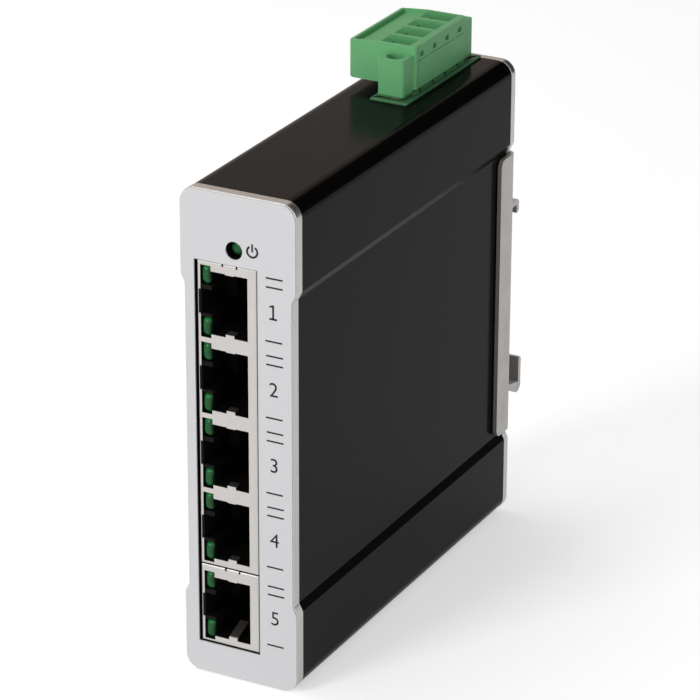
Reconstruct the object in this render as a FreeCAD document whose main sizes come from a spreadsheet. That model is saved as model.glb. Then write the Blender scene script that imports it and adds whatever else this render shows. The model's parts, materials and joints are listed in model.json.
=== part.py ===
"""DIN rail ethernet switch: slim extruded case, five jacks and a pluggable supply terminal.

X runs across the narrow front, Y runs back from the front face, Z is up.
Depths are measured back from the front face; the finished nodes are then moved forward by half
the case's depth, so the origin is the middle of the flat underside.
All sizes are millimetres.
"""
import FreeCAD, Part
import os

import Sketcher

from FreeCAD import Placement, Rotation, Vector

doc = FreeCAD.newDocument("ethernet_switch")

# ---------------------------------------------------------------- driving sizes
SIZES = [
    # case and end plates
    ("case_width", 22.0), ("case_height", 90.0), ("case_depth", 83.5),
    ("corner_radius", 2.8), ("wall", 1.2), ("extrusion_inset", 0.1),
    ("recess_depth", 0.75), ("recess_low", 15.75), ("recess_down", 16.5), ("recess_slope", 1.5),
    ("overlay_thick", 0.25), ("overlay_margin", 0.1), ("front_plate_thick", 2.05),
    ("rear_plate_thick", 1.5), ("plate_edge_round", 0.15),
    # case screws and their ports in the extrusion
    ("case_screw_size", 2.0), ("case_screw_head", 3.8), ("tapped_deep", 1.4),
    ("screw_play", 0.2), ("sink_play", 0.05), ("screw_port_size", 3.4), ("screw_port_in", 2.5),
    ("case_slot_deep", 0.6), ("case_slot_wide", 0.75),
    # circuit board and its grooves
    ("board_thick", 1.6), ("board_front", 3.0), ("board_rear_gap", 1.2),
    ("groove_deep", 1.5), ("groove_rib", 0.9), ("board_play", 0.1),
    # network jacks
    ("jack_left", -7.9), ("jack_wide", 11.3), ("jack_seat", 0.4), ("jack_low", 6.0),
    ("jack_split", 0.2), ("single_margin", 0.78), ("gang_margin", 0.37), ("jack_front", 0.3),
    ("jack_deep", 16.2), ("window_gap", 0.2), ("window_left_gap", 0.45),
    ("window_right_gap", 0.35), ("sheet", 0.25), ("port_pitch", 13.97),
    ("port_wide", 11.4), ("port_side", 1.7), ("gang_first", 1.25), ("single_first", 1.2),
    ("port_back_wall", 3.0), ("latch_wide", 4.4), ("latch_deep", 9.0),
    ("lamp_wide", 2.0), ("lamp_tall", 3.6), ("lamp_edge", 0.6), ("lamp_web", 0.45),
    ("lamp_shift", 0.1), ("lamp_deep", 6.0), ("lamp_play", 0.1), ("lamp_proud", 0.05),
    ("contact_pitch", 1.02), ("contact_wide", 0.4), ("contact_thick", 0.3),
    ("contact_lift", 2.6), ("contact_in", 3.2), ("contact_reach", 6.4), ("contact_seat", 0.1),
    ("contact_bend", 0.7), ("finger_in", 3.4), ("finger_wide", 1.65), ("finger_tab", 0.5),
    ("finger_step", 0.15), ("finger_short", 1.4), ("finger_short_rise", 0.7),
    ("finger_long", 4.0), ("finger_long_rise", 2.0), ("nick_off", 1.35), ("nick_wide", 0.35),
    ("nick_tall", 0.45), ("nick_deep", 1.5),
    # power lamp on its spacer
    ("power_lamp_x", -0.65), ("power_lamp_down", 9.85), ("power_lamp_size", 3.0),
    ("power_lamp_tip", 0.8), ("power_lamp_nose", 1.0), ("power_lamp_long", 2.9),
    ("power_lamp_face", 1.8),
    ("power_hole_size", 3.2), ("lamp_room", 12.8), ("spacer_size", 4.4), ("spacer_deep", 4.5),
    # supply header sunk in the case; places across are measured from the board's face
    ("pole_pitch", 5.0), ("terminal_in", 16.65), ("header_wide", 5.9), ("header_wall", 0.75),
    ("header_deep", 12.0), ("header_rim", 0.45), ("rim_over", 0.3),
    ("rim_over_right", 1.0), ("collar_gap", 0.3), ("collar_notch", 1.1),
    ("flange_long", 3.9), ("cavity_deep", 9.0), ("cutout_gap", 0.25), ("pin_size", 1.0),
    ("pin_down", 1.2), ("pin_bend_gap", 0.2), ("nut_deep", 6.0), ("nut_wall", 0.5),
    ("nut_down", 0.2),
    # pluggable terminal block
    ("plug_left_in", 12.7), ("plug_over", 0.25), ("plug_lift", 1.3), ("plug_tall", 8.0),
    ("plug_knee_in", 7.4), ("plug_step", 0.45), ("plug_round", 0.5), ("plug_lip_drop", 0.45),
    ("lip_thick", 0.6), ("tray_drop", 0.8),
    ("end_wall", 1.1), ("tongue_play", 0.3), ("well_wide", 4.2), ("well_left_in", 6.5),
    ("well_right_in", 1.1), ("well_deep", 2.4), ("well_edge_drop", 1.2), ("screw_axis_in", 3.4),
    ("driver_bore", 3.9),
    ("clamp_screw_size", 2.6), ("clamp_screw_head", 3.5), ("clamp_screw_sink", 0.1),
    ("cage_wide", 3.9), ("cage_tall", 4.0), ("cage_floor", 0.5), ("cage_play", 0.1),
    ("cage_sheet", 0.6), ("cage_rest", 0.05), ("head_gap", 0.4), ("slot_wide", 0.5),
    ("slot_deep", 0.8), ("entry_up", 0.4), ("entry_high", 3.1), ("entry_wide", 3.5),
    ("boss_left_in", 5.1), ("boss_right_in", 0.25), ("boss_tall", 6.5), ("boss_gap", 0.3),
    ("boss_round", 0.6), ("boss_bore", 3.3),
    ("boss_bore_deep", 3.4), ("flange_screw_size", 2.0), ("flange_screw_head", 2.9),
    ("flange_head_tall", 1.8), ("flange_screw_up", 1.0), ("flange_bore_off", 1.95),
    ("screw_fit", 0.2), ("socket_wall", 0.6), ("socket_play", 0.1), ("socket_rest", 0.2),
    ("mark_wide", 1.4), ("mark_high", 0.95), ("mark_down", 1.35), ("mark_deep", 0.5),
    ("seam_wide", 0.15), ("seam_down", 2.85), ("seam_deep", 0.15), ("end_seam_wide", 0.2),
    # rail bracket
    ("bracket_sheet", 0.8), ("bracket_low_gap", 1.15), ("bracket_high_gap", 1.3),
    ("bracket_bend", 1.6), ("bracket_gap", 0.1), ("flange_reach", 5.4), ("flange_round", 1.5),
    ("rail_mid", 43.0), ("rail_wide", 35.0), ("rail_play", 0.3), ("rail_slot", 2.2),
    ("hook_side", 10.4), ("hook_wide", 5.0), ("hook_lip", 1.6), ("hook_round", 0.5), ("spring_slot", 4.5),
    ("spring_lip", 4.1), ("spring_drop", 1.9), ("spring_round", 0.9), ("hook_thick", 1.0),
    ("rivet_size", 4.0), ("rivet_span", 20.0),
    # parts on the board; depths are measured from the jacks or from the terminal's middle
    ("magnetics_gap", 2.0), ("magnetics_deep", 9.6), ("magnetics_long", 16.0),
    ("magnetics_tall", 5.6), ("magnetics_pitch", 24.0), ("magnetics_low", 11.0),
    ("chip_gap", 7.9), ("chip_size", 14.0), ("chip_tall", 1.4), ("chip_low", 38.0),
    ("crystal_gap", 9.9), ("crystal_deep", 11.0), ("crystal_long", 4.5), ("crystal_tall", 3.5),
    ("crystal_low", 60.5), ("capacitor_size", 6.3), ("capacitor_tall", 7.7),
    ("capacitor_fore", 2.85), ("capacitor_down", 10.45), ("inductor_size", 8.0),
    ("inductor_tall", 4.0), ("inductor_fore", 8.85), ("inductor_down", 26.45),
    ("regulator_aft", 3.15), ("regulator_deep", 4.0), ("regulator_long", 5.0),
    ("regulator_tall", 1.6), ("regulator_down", 24.45),
]
sheet = doc.addObject("Spreadsheet::Sheet", "dims")
for row, (alias, value) in enumerate(SIZES, start=1):
    sheet.set(f"A{row}", alias)
    sheet.set(f"B{row}", str(value))
    sheet.setAlias(f"B{row}", alias)
doc.recompute()


# ---------------------------------------------------------------- sizes that carry their formula
class Size:
    """A number together with the sheet formula that gives it."""

    def __init__(self, value, text):
        self.value = float(value)
        self.text = text

    def __add__(self, other):
        other = as_size(other)
        return Size(self.value + other.value, f"({self.text} + {other.text})")

    def __sub__(self, other):
        other = as_size(other)
        return Size(self.value - other.value, f"({self.text} - {other.text})")

    def __mul__(self, factor):
        factor = as_size(factor)
        return Size(self.value * factor.value, f"({self.text} * {factor.text})")

    def __truediv__(self, factor):
        factor = as_size(factor)
        return Size(self.value / factor.value, f"({self.text} / {factor.text})")

    def __neg__(self):
        return Size(-self.value, f"(-1 * {self.text})")


def as_size(number):
    if isinstance(number, Size):
        return number
    return Size(number, repr(float(number)))


class Sheet:
    """Reads a driving size by its name."""

    def __getattr__(self, alias):
        return Size(sheet.get(alias), f"dims.{alias}")


D = Sheet()


# ---------------------------------------------------------------- small modelling helpers
def bind(obj, prop, size):
    obj.setExpression(prop, as_size(size).text)


def place(obj, point):
    for letter, size in zip("xyz", point):
        bind(obj, f"Placement.Base.{letter}", size)


def box(name, low, high):
    """Block between two opposite corners."""
    obj = doc.addObject("Part::Box", name)
    for prop, a, b in zip(("Length", "Width", "Height"), low, high):
        bind(obj, prop, as_size(b) - a)
    place(obj, low)
    return obj


TURNS = {
    "x": Rotation(Vector(0, 1, 0), 90),
    "y": Rotation(Vector(1, 0, 0), -90),
    "z": Rotation(),
    "-y": Rotation(Vector(1, 0, 0), 90),
    "-z": Rotation(Vector(1, 0, 0), 180),
}


def rod(name, foot, size, length, axis="z"):
    """Cylinder that starts at foot and runs along the axis."""
    obj = doc.addObject("Part::Cylinder", name)
    obj.Placement = Placement(Vector(), TURNS[axis])
    bind(obj, "Radius", as_size(size) / 2)
    bind(obj, "Height", length)
    place(obj, foot)
    return obj


def cone(name, foot, size, end_size, length, axis="z"):
    obj = doc.addObject("Part::Cone", name)
    obj.Placement = Placement(Vector(), TURNS[axis])
    bind(obj, "Radius1", as_size(size) / 2)
    bind(obj, "Radius2", as_size(end_size) / 2)
    bind(obj, "Height", length)
    place(obj, foot)
    return obj


def join(name, pieces):
    obj = doc.addObject("Part::MultiFuse", name)
    obj.Shapes = pieces
    return obj


def group(name, pieces):
    """Separate solids of one kind kept together."""
    obj = doc.addObject("Part::Compound", name)
    obj.Links = pieces
    return obj


def cut(name, base, tools):
    obj = doc.addObject("Part::Cut", name)
    obj.Base = base
    obj.Tool = tools[0] if len(tools) == 1 else join(f"{name}_tools", tools)
    return obj


def origin_plane(body, role):
    for feature in body.Origin.OriginFeatures:
        if feature.Role == role:
            return feature
    raise RuntimeError(f"{body.Name} has no plane {role}")


def sketch(body, role, name, level=0.0, loops=(), circles=()):
    """Closed outlines and circles on one of the body's own planes, moved along its normal."""
    obj = body.newObject("Sketcher::SketchObject", name)
    obj.AttachmentSupport = [(origin_plane(body, role), "")]
    obj.MapMode = "FlatFace"
    bind(obj, "AttachmentOffset.Base.z", level)
    for loop in loops:
        points = [(as_size(a), as_size(b)) for a, b in loop]
        first = obj.GeometryCount
        for i, (a, b) in enumerate(points):
            c, d = points[(i + 1) % len(points)]
            line = Part.LineSegment(Vector(a.value, b.value, 0), Vector(c.value, d.value, 0))
            obj.addGeometry(line, False)
        for i, (a, b) in enumerate(points):
            following = first + (i + 1) % len(points)
            obj.addConstraint(Sketcher.Constraint("Coincident", first + i, 2, following, 1))
            pin_point(obj, first + i, 1, a, b)
    for a, b, size in circles:
        a, b, size = as_size(a), as_size(b), as_size(size)
        ring = Part.Circle(Vector(a.value, b.value, 0), Vector(0, 0, 1), size.value / 2)
        index = obj.addGeometry(ring, False)
        rule = obj.addConstraint(Sketcher.Constraint("Diameter", index, size.value))
        bind(obj, f"Constraints[{rule}]", size)
        pin_point(obj, index, 3, a, b)
    return obj


def pin_point(obj, index, end, a, b):
    for kind, size in (("DistanceX", a), ("DistanceY", b)):
        rule = obj.addConstraint(Sketcher.Constraint(kind, -1, 1, index, end, size.value))
        bind(obj, f"Constraints[{rule}]", size)


def pad(body, profile, length, back=False):
    obj = body.newObject("PartDesign::Pad", f"{profile.Name}_pad")
    obj.Profile = profile
    obj.Reversed = back
    bind(obj, "Length", length)
    profile.Visibility = False
    doc.recompute()
    body.Tip = obj
    return obj


def pocket(body, profile, length, flip=False):
    """Cuts from the sketch against its normal: down from XY, rearward from XZ."""
    before = body.Shape.Volume
    obj = body.newObject("PartDesign::Pocket", f"{profile.Name}_pocket")
    obj.Profile = profile
    obj.Reversed = flip
    bind(obj, "Length", length)
    doc.recompute()
    body.Tip = obj
    doc.recompute()
    if not body.Shape.Volume < before - 1e-6:
        raise RuntimeError(f"{obj.Name} removes nothing")
    return obj


def edges_where(feature, test):
    """Names of the feature's edges whose middle point and direction pass the test."""
    names = []
    for number, edge in enumerate(feature.Shape.Edges, start=1):
        middle = edge.valueAt((edge.FirstParameter + edge.LastParameter) / 2)
        along = edge.tangentAt(edge.FirstParameter)
        if test(middle, along):
            names.append(f"Edge{number}")
    if not names:
        raise RuntimeError(f"no edges found on {feature.Name}")
    return names


def soften(body, feature, kind, name, names, size):
    """Fillet or chamfer on the named edges of a feature."""
    obj = body.newObject(f"PartDesign::{kind}", name)
    obj.Base = (feature, names)
    bind(obj, "Radius" if kind == "Fillet" else "Size", size)
    doc.recompute()
    body.Tip = obj
    return obj


def new_body(name):
    body = doc.addObject("PartDesign::Body", name)
    return body


def near(a, b):
    return abs(a - b) < 1e-4


# ---------------------------------------------------------------- places shared by several pieces
plate_back = D.overlay_thick + D.front_plate_thick
rear_plate_front = D.case_depth - D.rear_plate_thick
half_out = D.case_width / 2 - D.extrusion_inset
inner_low = D.wall
inner_high = D.case_height - inner_low
jack_right = D.jack_left + D.jack_wide
board_face = jack_right + D.jack_seat
board_back = board_face + D.board_thick
board_low = inner_low + D.board_play
board_high = inner_high - D.board_play
board_rear = rear_plate_front - D.board_rear_gap
port_x = D.case_width / 2 - D.screw_port_in
port_z = (D.screw_port_in, D.case_height - D.screw_port_in)
case_screw_long = D.case_depth - plate_back + D.tapped_deep
screw_spots = [(-port_x, port_z[0]), (port_x, port_z[0]), (-port_x, port_z[1]), (port_x, port_z[1])]
single_high = D.jack_low + D.port_pitch + D.single_margin
gang_low = single_high + D.jack_split
gang_room = D.case_height - D.lamp_room - gang_low
PORTS_IN_GANG = int(gang_room.value // D.port_pitch.value)
gang_high = gang_low + D.port_pitch * PORTS_IN_GANG + D.gang_margin
jack_back = D.jack_front + D.jack_deep
opening_right = jack_right - D.port_side
opening_left = D.jack_left + D.lamp_edge + D.lamp_wide
lamp_half_pitch = (D.port_pitch - D.lamp_tall) / 2 - D.lamp_web
latch_left = D.jack_left + D.sheet
recess_high = D.case_height - D.recess_down
lamp_z = D.case_height - D.power_lamp_down
POLES = 4
block_long = D.pole_pitch * POLES
terminal_mid = D.case_depth - D.terminal_in
block_front = terminal_mid - block_long / 2
block_back = terminal_mid + block_long / 2
header_front = block_front - D.flange_long - D.header_wall
header_back = block_back + D.flange_long + D.header_wall
header_high = D.case_height + D.header_rim
header_low = header_high - D.header_deep
header_right = board_face
header_left = board_face - D.header_wide
plug_left = board_face - D.plug_left_in
plug_right = board_face + D.plug_over
plug_knee = board_face - D.plug_knee_in
well_left = board_face - D.well_left_in
well_right = board_face - D.well_right_in
screw_axis = board_face - D.screw_axis_in
boss_left = board_face - D.boss_left_in
boss_right = board_face - D.boss_right_in
plug_low = D.case_height + D.plug_lift
plug_top = plug_low + D.plug_tall
boss_low = header_high + D.boss_gap
boss_top = plug_low + D.boss_tall
collar_high = plug_low - D.collar_gap
pole_mid = [block_front + D.pole_pitch * (i + 0.5) for i in range(POLES)]
flange_mid = (block_front - D.flange_bore_off, block_back + D.flange_bore_off)
cavity_left = header_left + D.header_wall
cavity_right = header_right - D.header_wall
tongue_left = cavity_left + D.tongue_play
tongue_right = cavity_right - D.tongue_play
pin_x = (cavity_left + cavity_right) / 2
cavity_low = header_high - D.cavity_deep
LAMP_PLACES = (1, -1)


def case_outline(side_inset, end_inset):
    """Cross section of the case: a tall box with a shallow recess in both sides."""
    side = D.case_width / 2 - side_inset
    floor = as_size(end_inset)
    roof = D.case_height - end_inset
    half = D.recess_slope / 2
    right = [
        (side, floor),
        (side, D.recess_low - half),
        (side - D.recess_depth, D.recess_low + half),
        (side - D.recess_depth, recess_high - half),
        (side, recess_high + half),
        (side, roof),
    ]
    left = [(-x, z) for x, z in reversed(right)]
    return right + left


def round_corners(body, feature, name, size):
    """Rounds the four long corner edges of an outline pad."""
    bounds = feature.Shape.BoundBox

    def on_corner(middle, along):
        at_side = near(middle.x, bounds.XMin) or near(middle.x, bounds.XMax)
        at_end = near(middle.z, bounds.ZMin) or near(middle.z, bounds.ZMax)
        return at_side and at_end and abs(along.y) > 0.99

    return soften(body, feature, "Fillet", name, edges_where(feature, on_corner), size)


def rim_edges(feature, level):
    """Edges of the outer outline of a plate at one depth."""
    bounds = feature.Shape.BoundBox

    def on_rim(middle, along):
        return near(middle.y, level.value) and abs(along.y) < 0.01

    names = edges_where(feature, on_rim)
    return names


# ---------------------------------------------------------------- case extrusion
housing = new_body("housing")
section = sketch(housing, "XZ_Plane", "case_section", -plate_back,
                 [case_outline(D.extrusion_inset, 0.0)])
housing_long = rear_plate_front - plate_back
shell = pad(housing, section, housing_long, back=True)
round_corners(housing, shell, "case_corners", D.corner_radius)

inner_side = half_out - D.wall
rib = [
    (board_face - D.board_play - D.groove_rib, board_face - D.board_play),
    (board_back + D.board_play, board_back + D.board_play + D.groove_rib),
]


def inner_outline():
    """Inside of the extrusion, with two guide ribs for the board at the floor and the roof."""
    half = D.recess_slope / 2
    narrow = inner_side - D.recess_depth
    low_rib = inner_low + D.groove_deep
    high_rib = inner_high - D.groove_deep
    points = [(-inner_side, inner_low)]
    for start, end in rib:
        points += [(start, inner_low), (start, low_rib), (end, low_rib), (end, inner_low)]
    points += [
        (inner_side, inner_low),
        (inner_side, D.recess_low - half),
        (narrow, D.recess_low + half),
        (narrow, recess_high - half),
        (inner_side, recess_high + half),
        (inner_side, inner_high),
    ]
    for start, end in reversed(rib):
        points += [(end, inner_high), (end, high_rib), (start, high_rib), (start, inner_high)]
    points += [
        (-inner_side, inner_high),
        (-inner_side, recess_high + half),
        (-narrow, recess_high - half),
        (-narrow, D.recess_low + half),
        (-inner_side, D.recess_low - half),
    ]
    return points


hollow = sketch(housing, "XZ_Plane", "case_hollow", -plate_back, [inner_outline()])
pocket(housing, hollow, housing_long)
bosses = sketch(housing, "XZ_Plane", "screw_ports", -plate_back,
                circles=[(x, z, D.screw_port_size) for x, z in screw_spots])
pad(housing, bosses, housing_long, back=True)
holes = sketch(housing, "XZ_Plane", "screw_port_holes", -plate_back,
               circles=[(x, z, D.case_screw_size + D.screw_play) for x, z in screw_spots])
pocket(housing, holes, housing_long)
slot = sketch(housing, "XY_Plane", "header_cutout", D.case_height, [[
    (header_left - D.cutout_gap, header_front - D.cutout_gap),
    (header_right + D.cutout_gap, header_front - D.cutout_gap),
    (header_right + D.cutout_gap, header_back + D.cutout_gap),
    (header_left - D.cutout_gap, header_back + D.cutout_gap),
]])
pocket(housing, slot, D.wall + D.groove_deep)


# ---------------------------------------------------------------- end plates and front sheet
def window_outline():
    low = D.jack_low - D.window_gap
    high = gang_high + D.window_gap
    left = D.jack_left - D.window_left_gap
    right = jack_right + D.window_right_gap
    return [(left, low), (right, low), (right, high), (left, high)]


plate = new_body("front_plate")
face = sketch(plate, "XZ_Plane", "plate_outline", -D.overlay_thick, [case_outline(0.0, 0.0)])
blank = pad(plate, face, D.front_plate_thick, back=True)
rounded = round_corners(plate, blank, "plate_corners", D.corner_radius)
soften(plate, rounded, "Chamfer", "plate_front_edge", rim_edges(rounded, D.overlay_thick),
       D.plate_edge_round)
window = sketch(plate, "XZ_Plane", "plate_window", -D.overlay_thick, [window_outline()],
                [(D.power_lamp_x, lamp_z, D.power_hole_size)])
pocket(plate, window, D.front_plate_thick)
tapped_ends = sketch(plate, "XZ_Plane", "tapped_ends", -(plate_back - D.tapped_deep),
                     circles=[(x, z, D.case_screw_size) for x, z in screw_spots])
pocket(plate, tapped_ends, D.tapped_deep)


def screw(name, foot, size, head, length, axis):
    """Countersunk screw: foot is the middle of the head's flat face, length is overall."""
    head_deep = (head - size) / 2
    top = cone(f"{name}_head", foot, head, size, head_deep, axis)
    shank = rod(f"{name}_shank", foot, size, length, axis)
    solid = join(f"{name}_solid", [top, shank])
    step = {"y": 1, "-y": -1}[axis]
    half = D.case_slot_wide / 2
    mid = foot[1]
    end = mid + D.case_slot_deep * step
    low, high = (mid, end) if step > 0 else (end, mid)
    slot_box = box(f"{name}_slot", (foot[0] - head / 2, low, foot[2] - half),
                   (foot[0] + head / 2, high, foot[2] + half))
    return cut(name, solid, [slot_box])


def sink(name, foot, size, head, through, axis):
    """Cutter for a countersunk hole, a little larger than the screw."""
    play = D.sink_play * 2
    wide = cone(f"{name}_sink", foot, head + play, size + play, (head - size) / 2, axis)
    return join(name, [wide, rod(f"{name}_bore", foot, size + play, through, axis)])


rear_sinks = []
case_screw_list = []
for number, (x, z) in enumerate(screw_spots, start=1):
    rear_foot = (x, D.case_depth, z)
    size, head = D.case_screw_size, D.case_screw_head
    rear_sinks.append(sink(f"rear_sink_{number}", rear_foot, size, head, D.rear_plate_thick, "-y"))
    case_screw_list.append(screw(f"case_screw_{number}", rear_foot, size, head, case_screw_long, "-y"))
case_screws = group("case_screws", case_screw_list)

label = new_body("front_sheet")
label_face = sketch(label, "XZ_Plane", "sheet_outline", 0.0,
                    [case_outline(D.overlay_margin, D.overlay_margin)])
label_pad = pad(label, label_face, D.overlay_thick, back=True)
round_corners(label, label_pad, "sheet_corners", D.corner_radius - D.overlay_margin)
label_window = sketch(label, "XZ_Plane", "sheet_window", 0.0, [window_outline()],
                      [(D.power_lamp_x, lamp_z, D.power_hole_size)])
pocket(label, label_window, D.overlay_thick)

back_blank = new_body("rear_plate_blank")
back_face = sketch(back_blank, "XZ_Plane", "rear_outline", -rear_plate_front, [case_outline(0.0, 0.0)])
back_pad = pad(back_blank, back_face, D.rear_plate_thick, back=True)
round_corners(back_blank, back_pad, "rear_corners", D.corner_radius)
bracket_spots = [(0.0, D.rail_mid - D.rivet_span / 2),
                 (0.0, D.rail_mid + D.rivet_span / 2)]
rivet_seats = sketch(back_blank, "XZ_Plane", "rivet_seats", -rear_plate_front,
                     circles=[(x, z, D.rivet_size) for x, z in bracket_spots])
pocket(back_blank, rivet_seats, D.rear_plate_thick)
rear_plate = cut("rear_plate", back_blank, rear_sinks)

# ---------------------------------------------------------------- rail bracket
bracket = new_body("rail_bracket_sheet")
bracket_low = D.recess_low + D.bracket_low_gap
bracket_high = recess_high - D.bracket_high_gap
flange_front = D.case_depth - D.flange_reach
web_front = D.case_depth
web_back = web_front + D.bracket_sheet
flange_in = D.case_width / 2 - D.recess_depth + D.bracket_gap
flange_out = flange_in + D.bracket_sheet
channel = sketch(bracket, "XY_Plane", "channel_section", bracket_low, [[
    (-flange_out, flange_front),
    (-flange_in, flange_front),
    (-flange_in, web_front),
    (flange_in, web_front),
    (flange_in, flange_front),
    (flange_out, flange_front),
    (flange_out, web_back),
    (-flange_out, web_back),
]])
channel_pad = pad(bracket, channel, bracket_high - bracket_low)


def on_bend(middle, along):
    return abs(along.z) > 0.99 and near(middle.y, web_back.value)


bent = soften(bracket, channel_pad, "Fillet", "bracket_bends", edges_where(channel_pad, on_bend),
              D.bracket_bend)


def on_flange_tip(middle, along):
    return abs(along.x) > 0.99 and near(middle.y, flange_front.value)


soften(bracket, bent, "Fillet", "flange_tips", edges_where(bent, on_flange_tip), D.flange_round)

rail_high = D.rail_mid + D.rail_wide / 2
rail_low = D.rail_mid - D.rail_wide / 2
hook_root = web_back - D.bracket_sheet / 2
leg_low = rail_high + D.rail_play
lip_in = web_back + D.rail_slot
lip_out = lip_in + D.hook_thick
leg_top = leg_low + D.hook_thick
lip_end = leg_low - D.hook_lip
upper_hook = [
    (hook_root, leg_low),
    (lip_in, leg_low),
    (lip_in, lip_end),
    (lip_out - D.hook_round, lip_end),
    (lip_out, lip_end + D.hook_round),
    (lip_out, leg_top - D.hook_round),
    (lip_out - D.hook_round, leg_top),
    (hook_root, leg_top),
]
leg_high = rail_low - D.rail_play
spring_in = web_back + D.spring_slot
spring_out = spring_in + D.hook_thick
spring_end = leg_high + D.spring_lip
spring_foot = leg_high - D.spring_drop - D.hook_thick
lower_hook = [
    (hook_root, leg_high),
    (web_back, leg_high),
    (spring_in, leg_high - D.spring_drop / 2),
    (spring_in, spring_end),
    (spring_out - D.hook_round, spring_end),
    (spring_out, spring_end - D.hook_round),
    (spring_out, spring_foot + D.spring_round),
    (spring_out - D.spring_round, spring_foot),
    (spring_in - D.spring_round, spring_foot),
    (web_back, leg_high - D.hook_thick),
    (hook_root, leg_high - D.hook_thick),
]
hooks = sketch(bracket, "YZ_Plane", "hook_profile", D.hook_side - D.hook_wide, [upper_hook, lower_hook])
hook_pad = pad(bracket, hooks, D.hook_wide)
mirror = bracket.newObject("PartDesign::Mirrored", "hooks_other_side")
mirror.Originals = [hook_pad]
mirror.MirrorPlane = (origin_plane(bracket, "YZ_Plane"), [""])
bracket.Tip = mirror
doc.recompute()
bracket_holes = []
rivets = []
for number, (x, z) in enumerate(bracket_spots, start=1):
    foot = (as_size(x), rear_plate_front, z)
    grip = web_back - rear_plate_front
    bracket_holes.append(rod(f"rivet_hole_{number}", foot, D.rivet_size, grip, "y"))
    rivets.append(rod(f"rivet_{number}", foot, D.rivet_size, grip, "y"))
rail_bracket = cut("rail_bracket", bracket, bracket_holes)
bracket_rivets = group("bracket_rivets", rivets)


# ---------------------------------------------------------------- network jacks
port_low = [gang_low + D.gang_first + D.port_pitch * i for i in reversed(range(PORTS_IN_GANG))]
port_low.append(D.jack_low + D.single_first)
lamp_left = opening_left - D.lamp_wide
cavity_end = jack_back - D.port_back_wall
finger_mid = opening_right - D.finger_in
finger_left = finger_mid - D.finger_wide / 2
finger_right = finger_mid + D.finger_wide / 2


def lamp_range(low, side):
    """Lower and upper end of one lamp window of a port."""
    lamp_mid = low + D.port_wide / 2 + D.lamp_shift + lamp_half_pitch * side
    return lamp_mid - D.lamp_tall / 2, lamp_mid + D.lamp_tall / 2


def port_cutter(name, low, depth):
    """Block that cuts the plug opening of one port."""
    return box(name, (opening_left, D.jack_front, low),
               (opening_right, D.jack_front + depth, low + D.port_wide))


def latch_cutter(name, low, left, depth):
    mid = low + D.port_wide / 2
    half = D.latch_wide / 2
    return box(name, (left, D.jack_front, mid - half), (opening_left, D.jack_front + depth, mid + half))


def finger(name, edge, reach, rise):
    """Spring finger of the shield that slopes into a port from the lower edge of its opening."""
    front = D.jack_front
    points = [
        (front, edge - D.sheet),
        (front, edge + D.finger_tab),
        (front + reach, edge + rise),
        (front + reach, edge + rise - D.sheet),
        (front + D.sheet, edge + D.finger_tab - D.sheet),
        (front + D.sheet, edge - D.sheet),
    ]
    body = new_body(name)
    profile = sketch(body, "YZ_Plane", f"{name}_profile", finger_left, [points])
    pad(body, profile, D.finger_wide)
    return body


def shield(name, low, high, ports, reach, rise):
    """Folded tin case of a jack, open at the back."""
    front_back = D.jack_front + D.sheet
    outer = box(f"{name}_outer", (D.jack_left, D.jack_front, low), (jack_right, jack_back, high))
    inner = box(f"{name}_inner", (D.jack_left + D.sheet, front_back, low + D.sheet),
                (jack_right - D.sheet, jack_back, high - D.sheet))
    cutters = [inner]
    for side in (-1, 1):
        nick_mid = finger_mid + D.nick_off * side
        cutters.append(box(f"{name}_nick_{side + 2}",
                           (nick_mid - D.nick_wide / 2, D.jack_front, high - D.nick_tall),
                           (nick_mid + D.nick_wide / 2, D.jack_front + D.nick_deep, high)))
    tabs = []
    for number in ports:
        edge = port_low[number]
        top = edge + D.port_wide
        cutters.append(port_cutter(f"{name}_port_{number + 1}", edge, D.sheet))
        cutters.append(latch_cutter(f"{name}_latch_{number + 1}", edge, latch_left, D.sheet))
        cutters.append(box(f"{name}_lamp_window_{number + 1}",
                           (lamp_left, D.jack_front, lamp_range(edge, -1)[0]),
                           (opening_left, front_back, lamp_range(edge, 1)[1])))
        tabs.append(finger(f"{name}_finger_{number + 1}", edge, reach, rise))
        tabs.append(box(f"{name}_step_{number + 1}", (finger_left, D.jack_front, top - D.finger_step),
                        (finger_right, front_back, top)))
    folded = cut(f"{name}_folded", outer, cutters)
    return join(name, [folded] + tabs)


def insulator(name, low, high, ports):
    """Moulded insert of a jack with its plug sockets and lamp chambers."""
    block = box(f"{name}_block", (D.jack_left + D.sheet, D.jack_front + D.sheet, low + D.sheet),
                (jack_right - D.sheet, jack_back, high - D.sheet))
    cutters = []
    for number in ports:
        edge = port_low[number]
        cutters.append(port_cutter(f"{name}_port_{number + 1}", edge, cavity_end - D.jack_front))
        cutters.append(latch_cutter(f"{name}_latch_{number + 1}", edge, lamp_left, D.latch_deep))
        for side in LAMP_PLACES:
            start, end = lamp_range(edge, side)
            cutters.append(box(f"{name}_lamp_{number + 1}_{side + 2}", (lamp_left, D.jack_front, start),
                               (opening_left, D.jack_front + D.lamp_deep, end)))
    return cut(name, block, cutters)


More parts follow.
